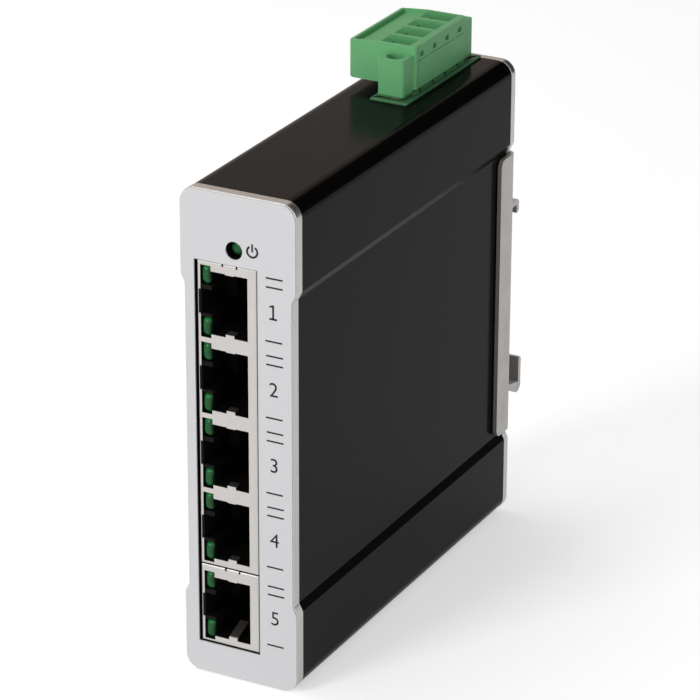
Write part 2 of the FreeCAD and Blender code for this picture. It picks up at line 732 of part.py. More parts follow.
def contact_wires(name, ports):
    """Eight bent spring wires in each port, on the side opposite the latch."""
    floor = (opening_right - D.contact_seat).value
    front = (D.jack_front + D.contact_in).value
    back = cavity_end.value
    thick = D.contact_thick.value
    lift = D.contact_lift.value
    tip = front + D.contact_reach.value
    profile = [
        (floor, back),
        (floor, front),
        (floor - lift, tip),
        (floor - lift + thick, tip + thick),
        (floor - thick, front + thick + D.contact_bend.value),
        (floor - thick, back),
    ]
    wide = D.contact_wide.value
    wires = []
    for number in ports:
        mid = (port_low[number] + D.port_wide / 2).value
        for place_number in range(8):
            z = mid + (place_number - 3.5) * D.contact_pitch.value - wide / 2
            outline = Part.makePolygon([Vector(x, y, z) for x, y in profile + profile[:1]])
            wires.append(Part.Face(outline).extrude(Vector(0, 0, wide)))
    obj = doc.addObject("Part::Feature", name)
    obj.Shape = Part.makeCompound(wires)
    obj.Placement = Placement()
    return obj


def lamps(name, ports):
    """Lamp lenses with a rounded nose."""
    lenses = []
    front = D.jack_front - D.lamp_proud
    left = lamp_left + D.lamp_play
    right = opening_left - D.lamp_play
    nose = (right - left) / 2
    for number in ports:
        for side in LAMP_PLACES:
            tag = f"{name}_{number + 1}_{side + 2}"
            start, end = lamp_range(port_low[number], side)
            low = start + D.lamp_play
            high = end - D.lamp_play
            round_nose = rod(f"{tag}_nose", (left + nose, front + nose, low), right - left, high - low)
            body = box(f"{tag}_body", (left, front + nose, low),
                       (right, D.jack_front + D.lamp_deep, high))
            lenses.append(join(f"{tag}_lens", [round_nose, body]))
    return group(name, lenses)


gang = list(range(PORTS_IN_GANG))
single = [PORTS_IN_GANG]
gang_shield = shield("gang_jack_shield", gang_low, gang_high, gang, D.finger_short,
                     D.finger_short_rise)
gang_insert = insulator("gang_jack_insert", gang_low, gang_high, gang)
gang_contacts = contact_wires("gang_jack_contacts", gang)
gang_lamps = lamps("gang_jack_lamps", gang)
single_shield = shield("single_jack_shield", D.jack_low, single_high, single, D.finger_long,
                       D.finger_long_rise)
single_insert = insulator("single_jack_insert", D.jack_low, single_high, single)
single_contacts = contact_wires("single_jack_contacts", single)
single_lamps = lamps("single_jack_lamps", single)

# ---------------------------------------------------------------- power lamp on its spacer
lamp_x = D.power_lamp_x
lamp_tip = D.overlay_thick + D.power_lamp_tip
lamp_shoulder = lamp_tip + D.power_lamp_nose
lamp_seat = lamp_shoulder + D.power_lamp_long
half_spacer = D.spacer_size / 2
nose = cone("power_lamp_nose", (lamp_x, lamp_tip, lamp_z), D.power_lamp_face, D.power_lamp_size,
            lamp_shoulder - lamp_tip, "y")
barrel = rod("power_lamp_barrel", (lamp_x, lamp_shoulder, lamp_z), D.power_lamp_size,
             lamp_seat - lamp_shoulder, "y")
power_lamp = join("power_lamp", [nose, barrel])
spacer = group("power_lamp_spacer", [
    box("spacer_block", (lamp_x - half_spacer, lamp_seat, lamp_z - half_spacer),
        (board_face, lamp_seat + D.spacer_deep, lamp_z + half_spacer))])

# ---------------------------------------------------------------- supply terminal header
header_block = box("header_block", (header_left, header_front, header_low),
                   (header_right, header_back, header_high))
rim_plate = box("header_rim_plate",
                (header_left - D.rim_over, header_front - D.rim_over, D.case_height),
                (header_right + D.rim_over_right, header_back + D.rim_over, header_high))
collar_left = box("header_collar_left", (header_left, block_front, header_high),
                  (cavity_left, block_back, collar_high))
collar_right = box("header_collar_right", (cavity_right, block_front, header_high),
                   (header_right, block_back, collar_high))
header_cuts = [box("header_cavity",
                   (cavity_left, block_front - D.tongue_play, cavity_low),
                   (cavity_right, block_back + D.tongue_play, header_high))]
boss_x = (boss_left + boss_right) / 2
nut_size = D.flange_screw_size + D.nut_wall * 2
nut_low = header_high - D.nut_deep
pin_bend = header_low - D.pin_size - D.pin_bend_gap
pins = []
board_cuts = []
for number, y in enumerate(pole_mid, start=1):
    half = D.pin_size / 2
    header_cuts.append(box(f"pin_hole_{number}", (pin_x - half, y - half, header_low),
                           (pin_x + half, y + half, cavity_low)))
    half_notch = D.collar_notch / 2
    header_cuts.append(box(f"collar_notch_{number}", (cavity_right, y - half_notch, header_high),
                           (header_right, y + half_notch, collar_high)))
    upright = box(f"pin_upright_{number}", (pin_x - half, y - half, pin_bend),
                  (pin_x + half, y + half, header_high - D.pin_down))
    leg = box(f"pin_leg_{number}", (pin_x - half, y - half, pin_bend),
              (board_back + D.pin_size, y + half, pin_bend + D.pin_size))
    pins.append(join(f"header_pin_{number}", [upright, leg]))
    play = half + D.board_play
    board_cuts.append(box(f"pin_via_{number}", (board_face, y - play, pin_bend - D.board_play),
                          (board_back, y + play, pin_bend + D.pin_size + D.board_play)))
nuts = []
for number, y in enumerate(flange_mid, start=1):
    half = nut_size / 2
    header_cuts.append(box(f"nut_seat_{number}", (boss_x - half, y - half, nut_low),
                           (boss_x + half, y + half, header_high)))
    ring = box(f"nut_block_{number}", (boss_x - half, y - half, nut_low),
               (boss_x + half, y + half, header_high - D.nut_down))
    bore = rod(f"nut_bore_{number}", (boss_x, y, nut_low), D.flange_screw_size + D.screw_fit,
               header_high - nut_low)
    nuts.append(cut(f"flange_nut_{number}", ring, [bore]))
header_solid = join("header_solid", [header_block, rim_plate, collar_left, collar_right])
header = cut("supply_header", header_solid, header_cuts)
header_pins = group("header_pins", pins)
flange_nuts = group("flange_nuts", nuts)

# ---------------------------------------------------------------- pluggable terminal block
plug = new_body("supply_plug")
lip_high = plug_top - D.plug_lip_drop
plug_under = plug_low + D.plug_step
main = sketch(plug, "XZ_Plane", "plug_section", -block_front, [[
    (plug_left, plug_under),
    (header_left, plug_under),
    (header_left, plug_low),
    (plug_right, plug_low),
    (plug_right, plug_top),
    (plug_knee, plug_top),
    (plug_left, lip_high),
]])
plug_block = pad(plug, main, block_long, back=True)


def on_plug_corner(middle, along):
    upright = abs(along.z) > 0.99 and near(middle.x, plug_right.value)
    under = abs(along.y) > 0.99 and near(middle.x, plug_left.value) and near(middle.z, plug_under.value)
    return upright or under


soften(plug, plug_block, "Fillet", "plug_corners", edges_where(plug_block, on_plug_corner), D.plug_round)
tongue_low = cavity_low + D.tongue_play
tongue = sketch(plug, "XY_Plane", "plug_tongue", tongue_low, [[
    (tongue_left, block_front),
    (tongue_right, block_front),
    (tongue_right, block_back),
    (tongue_left, block_back),
]])
pad(plug, tongue, plug_low - tongue_low)
boss_rects = []
for start, end in ((block_front - D.flange_long, block_front), (block_back, block_back + D.flange_long)):
    boss_rects.append([(boss_left, start), (boss_right, start), (boss_right, end),
                       (boss_left, end)])
boss_sketch = sketch(plug, "XY_Plane", "plug_bosses", boss_low, boss_rects)
boss_pad = pad(plug, boss_sketch, boss_top - boss_low)
boss_ends = ((block_front - D.flange_long).value, (block_back + D.flange_long).value)


def on_boss_corner(middle, along):
    at_end = near(middle.y, boss_ends[0]) or near(middle.y, boss_ends[1])
    return abs(along.z) > 0.99 and at_end and near(middle.x, boss_right.value)


soften(plug, boss_pad, "Fillet", "boss_corners", edges_where(boss_pad, on_boss_corner), D.boss_round)

rib_wide = (D.pole_pitch - D.well_wide) / 2
over_top = plug_top + D.tray_drop
tray_floor = lip_high - D.tray_drop
tray = sketch(plug, "XZ_Plane", "plug_tray", -(block_front + rib_wide), [[
    (plug_left + D.lip_thick, over_top),
    (plug_left + D.lip_thick, tray_floor),
    (plug_knee, lip_high),
    (plug_knee, over_top),
]])
pocket(plug, tray, block_long - rib_wide * 2)

well_floor = plug_top - D.well_deep
well = sketch(plug, "XZ_Plane", "screw_well", -(block_front + rib_wide), [[
    (plug_knee, over_top),
    (plug_knee, lip_high),
    (well_left, plug_top - D.well_edge_drop),
    (well_left, well_floor),
    (well_right, well_floor),
    (well_right, over_top),
]])
well_pocket = pocket(plug, well, D.well_wide)
first_pole = pole_mid[0]
cage_left = screw_axis - D.cage_wide / 2
cage_right = screw_axis + D.cage_wide / 2
cage_low = plug_low + D.cage_floor
cage_high = cage_low + D.cage_tall
driver = sketch(plug, "XY_Plane", "driver_bore", well_floor,
                circles=[(screw_axis, first_pole, D.driver_bore)])
driver_pocket = pocket(plug, driver, well_floor - cage_high)
half_cage = D.cage_wide / 2 + D.cage_play
chamber = sketch(plug, "XY_Plane", "cage_chamber", cage_high, [[
    (cage_left - D.cage_play, first_pole - half_cage),
    (cage_right + D.cage_play, first_pole - half_cage),
    (cage_right + D.cage_play, first_pole + half_cage),
    (cage_left - D.cage_play, first_pole + half_cage),
]])
chamber_pocket = pocket(plug, chamber, cage_high - cage_low)
entry_low = cage_low + D.entry_up
entry = sketch(plug, "YZ_Plane", "wire_entry", plug_left, [[
    (first_pole - D.entry_wide / 2, entry_low),
    (first_pole + D.entry_wide / 2, entry_low),
    (first_pole + D.entry_wide / 2, entry_low + D.entry_high),
    (first_pole - D.entry_wide / 2, entry_low + D.entry_high),
]])
entry_pocket = pocket(plug, entry, cage_left - plug_left, flip=True)
half_socket = D.pin_size / 2 + D.screw_fit / 2 + D.socket_wall
socket = sketch(plug, "XY_Plane", "pin_socket", cage_low, [[
    (pin_x - half_socket, first_pole - half_socket),
    (pin_x + half_socket, first_pole - half_socket),
    (pin_x + half_socket, first_pole + half_socket),
    (pin_x - half_socket, first_pole + half_socket),
]])
socket_pocket = pocket(plug, socket, cage_low - tongue_low)
mark_low = plug_top - D.mark_down - D.mark_high
mark = sketch(plug, "YZ_Plane", "test_slot", plug_right, [[
    (first_pole - D.mark_wide / 2, mark_low),
    (first_pole + D.mark_wide / 2, mark_low),
    (first_pole + D.mark_wide / 2, mark_low + D.mark_high),
    (first_pole - D.mark_wide / 2, mark_low + D.mark_high),
]])
mark_pocket = pocket(plug, mark, D.mark_deep)
poles = plug.newObject("PartDesign::LinearPattern", "poles")
poles.Originals = [well_pocket, driver_pocket, chamber_pocket, entry_pocket, socket_pocket,
                   mark_pocket]
poles.Direction = (origin_plane(plug, "Y_Axis"), [""])
bind(poles, "Length", D.pole_pitch * (POLES - 1))
poles.Occurrences = POLES
doc.recompute()
plug.Tip = poles
seam_front = block_front + D.end_wall
seam_high = plug_top - D.seam_down
end_seam = seam_front + D.end_seam_wide
seam = sketch(plug, "YZ_Plane", "cover_seam", plug_right, [
    [
        (end_seam, seam_high - D.seam_wide),
        (block_back - D.end_wall, seam_high - D.seam_wide),
        (block_back - D.end_wall, seam_high),
        (end_seam, seam_high),
    ],
    [
        (seam_front, plug_low - D.seam_wide),
        (end_seam, plug_low - D.seam_wide),
        (end_seam, plug_top + D.seam_wide),
        (seam_front, plug_top + D.seam_wide),
    ],
])
pocket(plug, seam, D.seam_deep)
head_floor = boss_top - D.boss_bore_deep
boss_bores = sketch(plug, "XY_Plane", "boss_bores", boss_top,
                    circles=[(boss_x, y, D.boss_bore) for y in flange_mid])
pocket(plug, boss_bores, boss_top - head_floor)
boss_holes = sketch(plug, "XY_Plane", "boss_holes", head_floor,
                    circles=[(boss_x, y, D.flange_screw_size + D.screw_fit * 2) for y in flange_mid])
pocket(plug, boss_holes, head_floor - boss_low)

clamp_screw_list = []
cage_list = []
socket_list = []
head_low = cage_high + D.head_gap
head_high = well_floor - D.clamp_screw_sink
half_slot = D.slot_wide / 2
for number, y in enumerate(pole_mid, start=1):
    shank = rod(f"clamp_shank_{number}", (screw_axis, y, cage_high), D.clamp_screw_size,
                head_low - cage_high)
    top = rod(f"clamp_head_{number}", (screw_axis, y, head_low), D.clamp_screw_head,
              head_high - head_low)
    slot_cut = box(f"clamp_slot_{number}",
                   (screw_axis - D.clamp_screw_head, y - half_slot, head_high - D.slot_deep),
                   (screw_axis + D.clamp_screw_head, y + half_slot, head_high))
    whole = join(f"clamp_body_{number}", [shank, top])
    clamp_screw_list.append(cut(f"clamp_screw_{number}", whole, [slot_cut]))
    half = D.cage_wide / 2
    frame = box(f"cage_block_{number}", (cage_left, y - half, cage_low + D.cage_rest),
                (cage_right, y + half, cage_high))
    wire_way = box(f"cage_way_{number}", (cage_left, y - half + D.cage_sheet, cage_low + D.cage_sheet),
                   (cage_right, y + half - D.cage_sheet, cage_high - D.cage_sheet))
    cage_list.append(cut(f"cage_{number}", frame, [wire_way]))
    side = half_socket - D.socket_play
    tube = box(f"socket_tube_{number}", (pin_x - side, y - side, tongue_low + D.socket_rest),
               (pin_x + side, y + side, cage_low))
    way = D.pin_size / 2 + D.tongue_play
    pin_way = box(f"socket_way_{number}", (pin_x - way, y - way, tongue_low + D.socket_rest),
                  (pin_x + way, y + way, cage_low - D.cage_floor))
    socket_list.append(cut(f"socket_{number}", tube, [pin_way]))
clamp_screws = group("clamp_screws", clamp_screw_list)
clamp_cages = group("clamp_cages", cage_list)
pin_sockets = group("pin_sockets", socket_list)

flange_screw_list = []
shank_low = nut_low + D.flange_screw_up
slot_floor = head_floor + D.flange_head_tall - D.slot_deep
for number, y in enumerate(flange_mid, start=1):
    shank = rod(f"flange_shank_{number}", (boss_x, y, shank_low), D.flange_screw_size,
                head_floor - shank_low)
    top = rod(f"flange_head_{number}", (boss_x, y, head_floor), D.flange_screw_head,
              D.flange_head_tall)
    slot_cut = box(f"flange_slot_{number}",
                   (boss_x - D.flange_screw_head, y - half_slot, slot_floor),
                   (boss_x + D.flange_screw_head, y + half_slot, slot_floor + D.slot_deep))
    whole = join(f"flange_body_{number}", [shank, top])
    flange_screw_list.append(cut(f"flange_screw_{number}", whole, [slot_cut]))
flange_screws = group("flange_screws", flange_screw_list)

# ---------------------------------------------------------------- circuit board and its parts
board_blank = box("board_blank", (board_face, D.board_front, board_low),
                  (board_back, board_rear, board_high))
circuit_board = cut("circuit_board", board_blank, board_cuts)


def on_board(name, front, low, deep, long, tall):
    """Block that lies on the board's face."""
    return box(name, (board_face - tall, front, low), (board_face, front + deep, low + long))


behind_jacks = jack_back + D.magnetics_gap
behind_magnetics = behind_jacks + D.magnetics_deep
magnetics = group("magnetics", [
    on_board(f"magnetics_{number + 1}", behind_jacks, D.magnetics_low + D.magnetics_pitch * number,
             D.magnetics_deep, D.magnetics_long, D.magnetics_tall) for number in range(3)])
switch_chip = group("switch_chip", [
    on_board("chip_body", behind_magnetics + D.chip_gap, D.chip_low, D.chip_size, D.chip_size,
             D.chip_tall)])
crystal = group("crystal", [
    on_board("crystal_can", behind_magnetics + D.crystal_gap, D.crystal_low, D.crystal_deep,
             D.crystal_long, D.crystal_tall)])
capacitor = group("capacitor", [
    rod("capacitor_can",
        (board_face - D.capacitor_tall, terminal_mid - D.capacitor_fore, header_low - D.capacitor_down),
        D.capacitor_size, D.capacitor_tall, "x")])
inductor = group("inductor", [
    on_board("inductor_core", terminal_mid - D.inductor_fore, header_low - D.inductor_down,
             D.inductor_size, D.inductor_size, D.inductor_tall)])
regulator = group("regulator", [
    on_board("regulator_body", terminal_mid + D.regulator_aft, header_low - D.regulator_down,
             D.regulator_deep, D.regulator_long, D.regulator_tall)])


# ---------------------------------------------------------------- checks and export
NODES = {
    "housing": housing,
    "front_plate": plate,
    "front_sheet": label,
    "rear_plate": rear_plate,
    "case_screws": case_screws,
    "rail_bracket": rail_bracket,
    "bracket_rivets": bracket_rivets,
    "gang_jack_shield": gang_shield,
    "gang_jack_insert": gang_insert,
    "gang_jack_contacts": gang_contacts,
    "gang_jack_lamps": gang_lamps,
    "single_jack_shield": single_shield,
    "single_jack_insert": single_insert,
    "single_jack_contacts": single_contacts,
    "single_jack_lamps": single_lamps,
    "power_lamp": power_lamp,
    "power_lamp_spacer": spacer,
    "supply_header": header,
    "header_pins": header_pins,
    "flange_nuts": flange_nuts,
    "supply_plug": plug,
    "clamp_screws": clamp_screws,
    "clamp_cages": clamp_cages,
    "pin_sockets": pin_sockets,
    "flange_screws": flange_screws,
    "circuit_board": circuit_board,
    "switch_chip": switch_chip,
    "magnetics": magnetics,
    "crystal": crystal,
    "capacitor": capacitor,
    "inductor": inductor,
    "regulator": regulator,
}
for node, obj in NODES.items():
    obj.Label = node
    bind(obj, "Placement.Base.y", D.case_depth / -2)
doc.recompute()
for obj in doc.Objects:
    if "Invalid" in obj.State or "Error" in obj.State:
        raise RuntimeError(f"{obj.Name} failed: {obj.State}")
os.makedirs("parts", exist_ok=True)
for node, obj in NODES.items():
    if obj.Shape.isNull() or not obj.Shape.isValid():
        raise RuntimeError(f"{node} has no valid shape")
    obj.Shape.exportStep(f"parts/{node}.step")
    box_now = obj.Shape.BoundBox
    print(f"{node:22s} volume {obj.Shape.Volume:9.2f}  x {box_now.XMin:7.2f} {box_now.XMax:7.2f}"
          f"  y {box_now.YMin:7.2f} {box_now.YMax:7.2f}  z {box_now.ZMin:7.2f} {box_now.ZMax:7.2f}"
          f"  solids {len(obj.Shape.Solids)}")
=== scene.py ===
"""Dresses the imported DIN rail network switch: rounded pieces, prints and finishes."""

import json
import math

import bmesh
import bpy
from bpy.props import FloatProperty, FloatVectorProperty, PointerProperty
from bpy.types import Operator, Panel, PropertyGroup
from mathutils import Matrix, Vector

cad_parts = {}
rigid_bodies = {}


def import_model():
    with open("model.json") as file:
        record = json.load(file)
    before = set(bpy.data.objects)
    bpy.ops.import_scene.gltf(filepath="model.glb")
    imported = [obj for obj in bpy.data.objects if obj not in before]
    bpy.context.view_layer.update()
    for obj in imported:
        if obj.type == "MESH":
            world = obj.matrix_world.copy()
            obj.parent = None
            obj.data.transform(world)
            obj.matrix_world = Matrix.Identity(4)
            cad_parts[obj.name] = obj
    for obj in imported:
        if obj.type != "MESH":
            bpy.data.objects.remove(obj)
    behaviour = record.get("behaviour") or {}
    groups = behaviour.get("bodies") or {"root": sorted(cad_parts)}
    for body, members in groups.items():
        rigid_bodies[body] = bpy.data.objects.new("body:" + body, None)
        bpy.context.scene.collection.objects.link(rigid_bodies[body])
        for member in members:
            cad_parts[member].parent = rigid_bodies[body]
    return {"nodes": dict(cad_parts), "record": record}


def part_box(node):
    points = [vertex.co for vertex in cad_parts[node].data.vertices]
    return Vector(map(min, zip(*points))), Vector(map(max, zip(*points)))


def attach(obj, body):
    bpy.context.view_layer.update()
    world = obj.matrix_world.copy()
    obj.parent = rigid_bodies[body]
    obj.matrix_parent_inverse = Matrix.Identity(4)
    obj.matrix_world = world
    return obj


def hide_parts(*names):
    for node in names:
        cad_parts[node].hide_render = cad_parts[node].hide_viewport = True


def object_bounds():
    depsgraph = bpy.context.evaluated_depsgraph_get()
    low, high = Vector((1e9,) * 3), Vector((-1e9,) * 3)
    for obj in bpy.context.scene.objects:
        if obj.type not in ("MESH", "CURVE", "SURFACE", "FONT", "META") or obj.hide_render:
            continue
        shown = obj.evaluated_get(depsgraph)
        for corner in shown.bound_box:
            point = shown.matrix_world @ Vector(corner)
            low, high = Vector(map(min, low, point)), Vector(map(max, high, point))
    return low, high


bl_info = {
    "name": "DIN Rail Network Switch",
    "version": (1, 0, 0),
    "blender": (4, 5, 0),
    "location": "View3D > Sidebar > Switch",
    "description": "Builds the looks of a slim five port network switch",
    "category": "Object",
}

for leftover in list(bpy.data.objects):
    bpy.data.objects.remove(leftover)
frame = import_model()
CAD_LOW, CAD_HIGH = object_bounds()
MM = 0.001
CASE = "case"
PLUG = "plug"
INK = "ink"
FACE_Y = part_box("front_sheet")[0].y
LAMP_LOW, LAMP_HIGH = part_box("power_lamp")
LAMP_MIDDLE = (LAMP_LOW + LAMP_HIGH) / 2
GANG_LOW, GANG_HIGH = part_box("gang_jack_shield")
SINGLE_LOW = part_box("single_jack_shield")[0]
HEADER_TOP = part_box("supply_header")[1].z
SMOOTH_BELOW = math.radians(12.5)
UPRIGHT = Matrix.Rotation(math.pi / 2, 3, "X")

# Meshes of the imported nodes
SAME_PLACE = 0.001 * MM
MERGE_WITHIN = 0.002 * MM
FLAT_WITHIN = math.radians(0.6)

# Windows of the front plate whose walls get painted shade in black
WINDOW_MARGIN = 1.2 * MM
LAMP_HOLE = 1.75 * MM

# Lamp lenses: how deep the dome and the clear part reach behind the tip, and the cuts
# that let the dome bend, on each side of its middle and over a share of its height
DOME_DEEP = 0.9 * MM
CLEAR_DEEP = 0.95 * MM
DOME_CUTS = 4
DOME_SPAN = 0.7

# Prints; places are given across and up on the front film
PORT_PITCH = 13.97 * MM
PORTS_IN_GANG = 4
FIRST_NUMERAL_DOWN = 6.71 * MM
LAST_NUMERAL_UP = 7.59 * MM
NUMERAL_X = 6.72 * MM
UPPER_BARS_X = 6.95 * MM
LOWER_BARS_X = 6.8 * MM
BARS_FROM_NUMERAL = 5.25 * MM
BAR_HALF = 1.6 * MM
BAR_PITCH = 1.6 * MM
BAR_PEN = 0.3 * MM
POWER_SIGN_X = 2.84 * MM
POWER_SIGN_UP = 0.45 * MM
POWER_SIGN_SIZE = 2.3 * MM
CAPITAL_SHARE = 0.73

# Lamps: name, place, width and height, power in watts, whether reflections show it
LIGHT_TARGET = (0.0, 0.0, 0.05)
SOFT_LIGHTS = (
    ("key", (-0.3, -0.8, 0.55), (0.28, 0.28), 3.15, True),
    ("front", (0.06, -1.0, 0.16), (0.4, 0.4), 3.2, False),
    ("top", (-0.35, 0.05, 0.85), (0.6, 0.6), 2.1, True),
    ("side", (0.9, -0.3, 0.35), (0.5, 0.7), 1.4, True),
)

# Boards that only reflections show: name, middle, width and height, glow
BOARDS = (
    ("dark_flag", (0.27, 0.6, 0.43), (0.7, 0.8), (0.0, 0.0, 0.0)),
    ("grey_flag", (-0.52, 0.61, 0.5), (0.9, 0.9), (0.7, 0.61, 0.54)),
)

# Room and floor
ROOM_LIGHT = 0.2
FLOOR_HALF = 1.5
FLOOR_DROP = 0.2 * MM
FLOOR_GLOW = 0.5


# ---------------------------------------------------------------- user settings
def colour_setting(name, description, default):
    return FloatVectorProperty(name=name, description=description, subtype="COLOR", size=3,
                               min=0.0, max=1.0, default=default)


def length_setting(name, description, default):
    return FloatProperty(name=name, description=description, subtype="DISTANCE", unit="LENGTH",
                         default=default, min=0.0, precision=5)


def angle_setting(name, description, degrees):
    return FloatProperty(name=name, description=description, subtype="ANGLE", unit="ROTATION",
                         default=math.radians(degrees))


class SwitchColours(PropertyGroup):
    case: colour_setting("Case", "Black anodised case", (0.0034, 0.003, 0.0028))
    film: colour_setting("Front film", "Pale grey printed front sheet", (0.62, 0.615, 0.63))
    plate: colour_setting("End plates", "Bare aluminium of the end plates", (0.5, 0.485, 0.47))
    bracket: colour_setting("Bracket", "Plated steel of the rail bracket", (0.5, 0.48, 0.465))
    tin: colour_setting("Jack shields", "Tin plated jack shields", (0.565, 0.538, 0.518))
    print_ink: colour_setting("Print", "Ink of the numbers and signs", (0.02, 0.02, 0.024))
    lens: colour_setting("Lenses", "Green lamp lenses", (0.005, 0.092, 0.02))
    terminal: colour_setting("Terminal", "Green moulding of the terminal", (0.14, 0.425, 0.18))


class SwitchSizes(PropertyGroup):
    plate_round: length_setting("Plate edge", "Rounding of the end plates' edges", 0.22 * MM)
    moulding_round: length_setting("Moulding edge", "Rounding of the moulded edges", 0.14 * MM)
    shield_bend: length_setting("Shield bend", "Outer bend of the jack shields", 0.3 * MM)
    bracket_round: length_setting("Bracket edge", "Rounding of the bracket's edges", 0.18 * MM)
    lens_dome: length_setting("Lens dome", "How far a lamp lens falls back at its ends", 0.45 * MM)
    lens_round: length_setting("Lens edge", "Rounding of the lamp lenses", 0.8 * MM)
    numeral: length_setting("Numeral height", "Height of the port numbers", 2.72 * MM)
    print_thick: length_setting("Ink thickness", "How far the ink stands off the film", 0.012 * MM)


class SwitchView(PropertyGroup):
    azimuth: angle_setting("Azimuth", "Camera's turn from straight in front", 27.712)
    elevation: angle_setting("Elevation", "Camera's height above the horizon", 23.394)
    roll: angle_setting("Roll", "Camera's tilt to the side", 0.171)
    distance: length_setting("Distance", "Camera's distance from its aim", 0.657449)
    aim: FloatVectorProperty(name="Aim", description="Point that the camera looks at",
                             subtype="XYZ", unit="LENGTH", size=3,
                             default=(0.000537, -0.002620, 0.047641))
    lens: FloatProperty(name="Lens", description="Focal length in millimetres", default=190.98,
                        min=1.0)


# ---------------------------------------------------------------- shader writing
class Flow:
    """A socket whose value can be used in a Python sum."""

    def __init__(self, finish, socket):
        self.finish = finish
        self.socket = socket

    def maths(self, operation, first, second):
        return self.finish.node("ShaderNodeMath", {"operation": operation}, {0: first, 1: second})

    def __add__(self, other):
        return self.maths("ADD", self, other)

    def __radd__(self, other):
        return self.maths("ADD", other, self)

    def __sub__(self, other):
        return self.maths("SUBTRACT", self, other)

    def __rsub__(self, other):
        return self.maths("SUBTRACT", other, self)

    def __mul__(self, other):
        return self.maths("MULTIPLY", self, other)

    def __rmul__(self, other):
        return self.maths("MULTIPLY", other, self)


class Finish:
    """A material with one surface shader, written as sums of patterns."""

    def __init__(self, name, **fixed):
        self.material = bpy.data.materials.new(name)
        self.material.use_nodes = True
        self.tree = self.material.node_tree
        self.tree.nodes.clear()
        output = self.tree.nodes.new("ShaderNodeOutputMaterial")
        self.shader = self.tree.nodes.new("ShaderNodeBsdfPrincipled")
        self.tree.links.new(self.shader.outputs["BSDF"], output.inputs["Surface"])
        self.paint(**fixed)
        self.place = self.node("ShaderNodeTexCoord", out="Object")

    def put(self, socket, value):
        """Feeds a socket with a number, a colour or the output of a pattern."""
        if isinstance(value, Flow):
            self.tree.links.new(value.socket, socket)
        elif hasattr(value, "__len__") and socket.type == "RGBA":
            socket.default_value = (*value[:3], 1.0)
        else:
            socket.default_value = value

    def node(self, kind, settings=None, inputs=None, out=0):
        """Adds a node, sets it up, feeds its sockets and returns one of its outputs."""
        made = self.tree.nodes.new(kind)
        for setting, value in (settings or {}).items():
            setattr(made, setting, value)
        for socket, value in (inputs or {}).items():
            self.put(made.inputs[socket], value)
        return Flow(self, made.outputs[out])

    def grain(self, scale, detail=3.0, stretch=(1.0, 1.0, 1.0)):
        """Noise between 0 and 1; scale counts its blotches along a metre."""
        where = self.node("ShaderNodeMapping", None, {"Vector": self.place, "Scale": stretch})
        return self.node("ShaderNodeTexNoise", None,
                         {"Vector": where, "Scale": scale, "Detail": detail, "Roughness": 0.55})

    def steps(self, value, low, high):
        """0 below low, 1 above high and smooth between them."""
        return self.node("ShaderNodeMapRange", {"interpolation_type": "SMOOTHSTEP", "clamp": True},
                         {"Value": value, "From Min": low, "From Max": high})

    def blend(self, first, second, factor):
        """From the first colour to the second as the factor goes from 0 to 1."""
        return self.node("ShaderNodeMix", {"data_type": "RGBA"},
                         {0: factor, 6: first, 7: second}, 2)

    def part_of(self, axis, vector):
        """The X, Y or Z of a vector."""
        return self.node("ShaderNodeSeparateXYZ", None, {"Vector": vector}, axis)

    def facing(self, axis):
        """How far the surface faces along an axis, from -1 to 1."""
        return self.part_of(axis, self.node("ShaderNodeNewGeometry", out="Normal"))

    def edges(self, radius):
        """1 on sharp edges, falling to 0 a radius away from them."""
        soft = self.node("ShaderNodeBevel", {"samples": 6}, {"Radius": radius})
        flat = self.node("ShaderNodeNewGeometry", out="True Normal")
        along = self.node("ShaderNodeVectorMath", {"operation": "DOT_PRODUCT"}, {0: soft, 1: flat},
                          "Value")
        return self.steps(1.0 - along, 0.02, 0.25)

    def bump(self, height, depth):
        """Relief of the given depth in metres."""
        normal = self.node("ShaderNodeBump", None,
                           {"Height": height, "Distance": depth, "Strength": 1.0})
        self.put(self.shader.inputs["Normal"], normal)

    def paint(self, **channels):
        """Sets the shader's sockets, named in small letters with underscores."""
        for channel, value in channels.items():
            socket = channel.replace("_", " ").title().replace("Ior", "IOR")
            self.put(self.shader.inputs[socket], value)
        return self.material


def shade(colour, factor):
    """A lighter or darker colour."""
    return tuple(min(1.0, channel * factor) for channel in colour[:3])


def anodised(colours):
    made = Finish("anodised_black", metallic=0.0, specular_ior_level=0.036,
                  specular_tint=(1.0, 0.94, 0.9))
    cloud = made.grain(60.0, 4.0)
    fine = made.grain(5200.0, 2.0)
    drawn = made.grain(900.0, 3.0, (1.0, 0.02, 1.0))
    worn = made.edges(0.25 * MM) * made.steps(made.grain(700.0), 0.4, 0.75)
    worn_black = (0.02, 0.019, 0.018)
    base = made.blend(shade(colours.case, 0.8), shade(colours.case, 1.3), cloud)
    base = made.blend(base, worn_black, worn * 0.35)
    made.bump(fine * 0.7 + drawn * 0.3, 0.006 * MM)
    return made.paint(base_color=base, roughness=0.13 + cloud * 0.04 + fine * 0.04)


def front_film(colours):
    made = Finish("front_film", metallic=0.0)
    flake = made.grain(9000.0, 1.0)
    cloud = made.grain(90.0, 3.0)
    fleck = made.steps(made.grain(2600.0, 1.0), 0.70, 0.78)
    base = made.blend(shade(colours.film, 0.97), shade(colours.film, 1.03), flake)
    base = made.blend(base, shade(colours.film, 0.9), fleck * 0.5)
    base = made.blend(base, shade(colours.film, 0.96), cloud * 0.3)
    made.bump(flake, 0.006 * MM)
    return made.paint(base_color=base, roughness=0.42 + flake * 0.12)


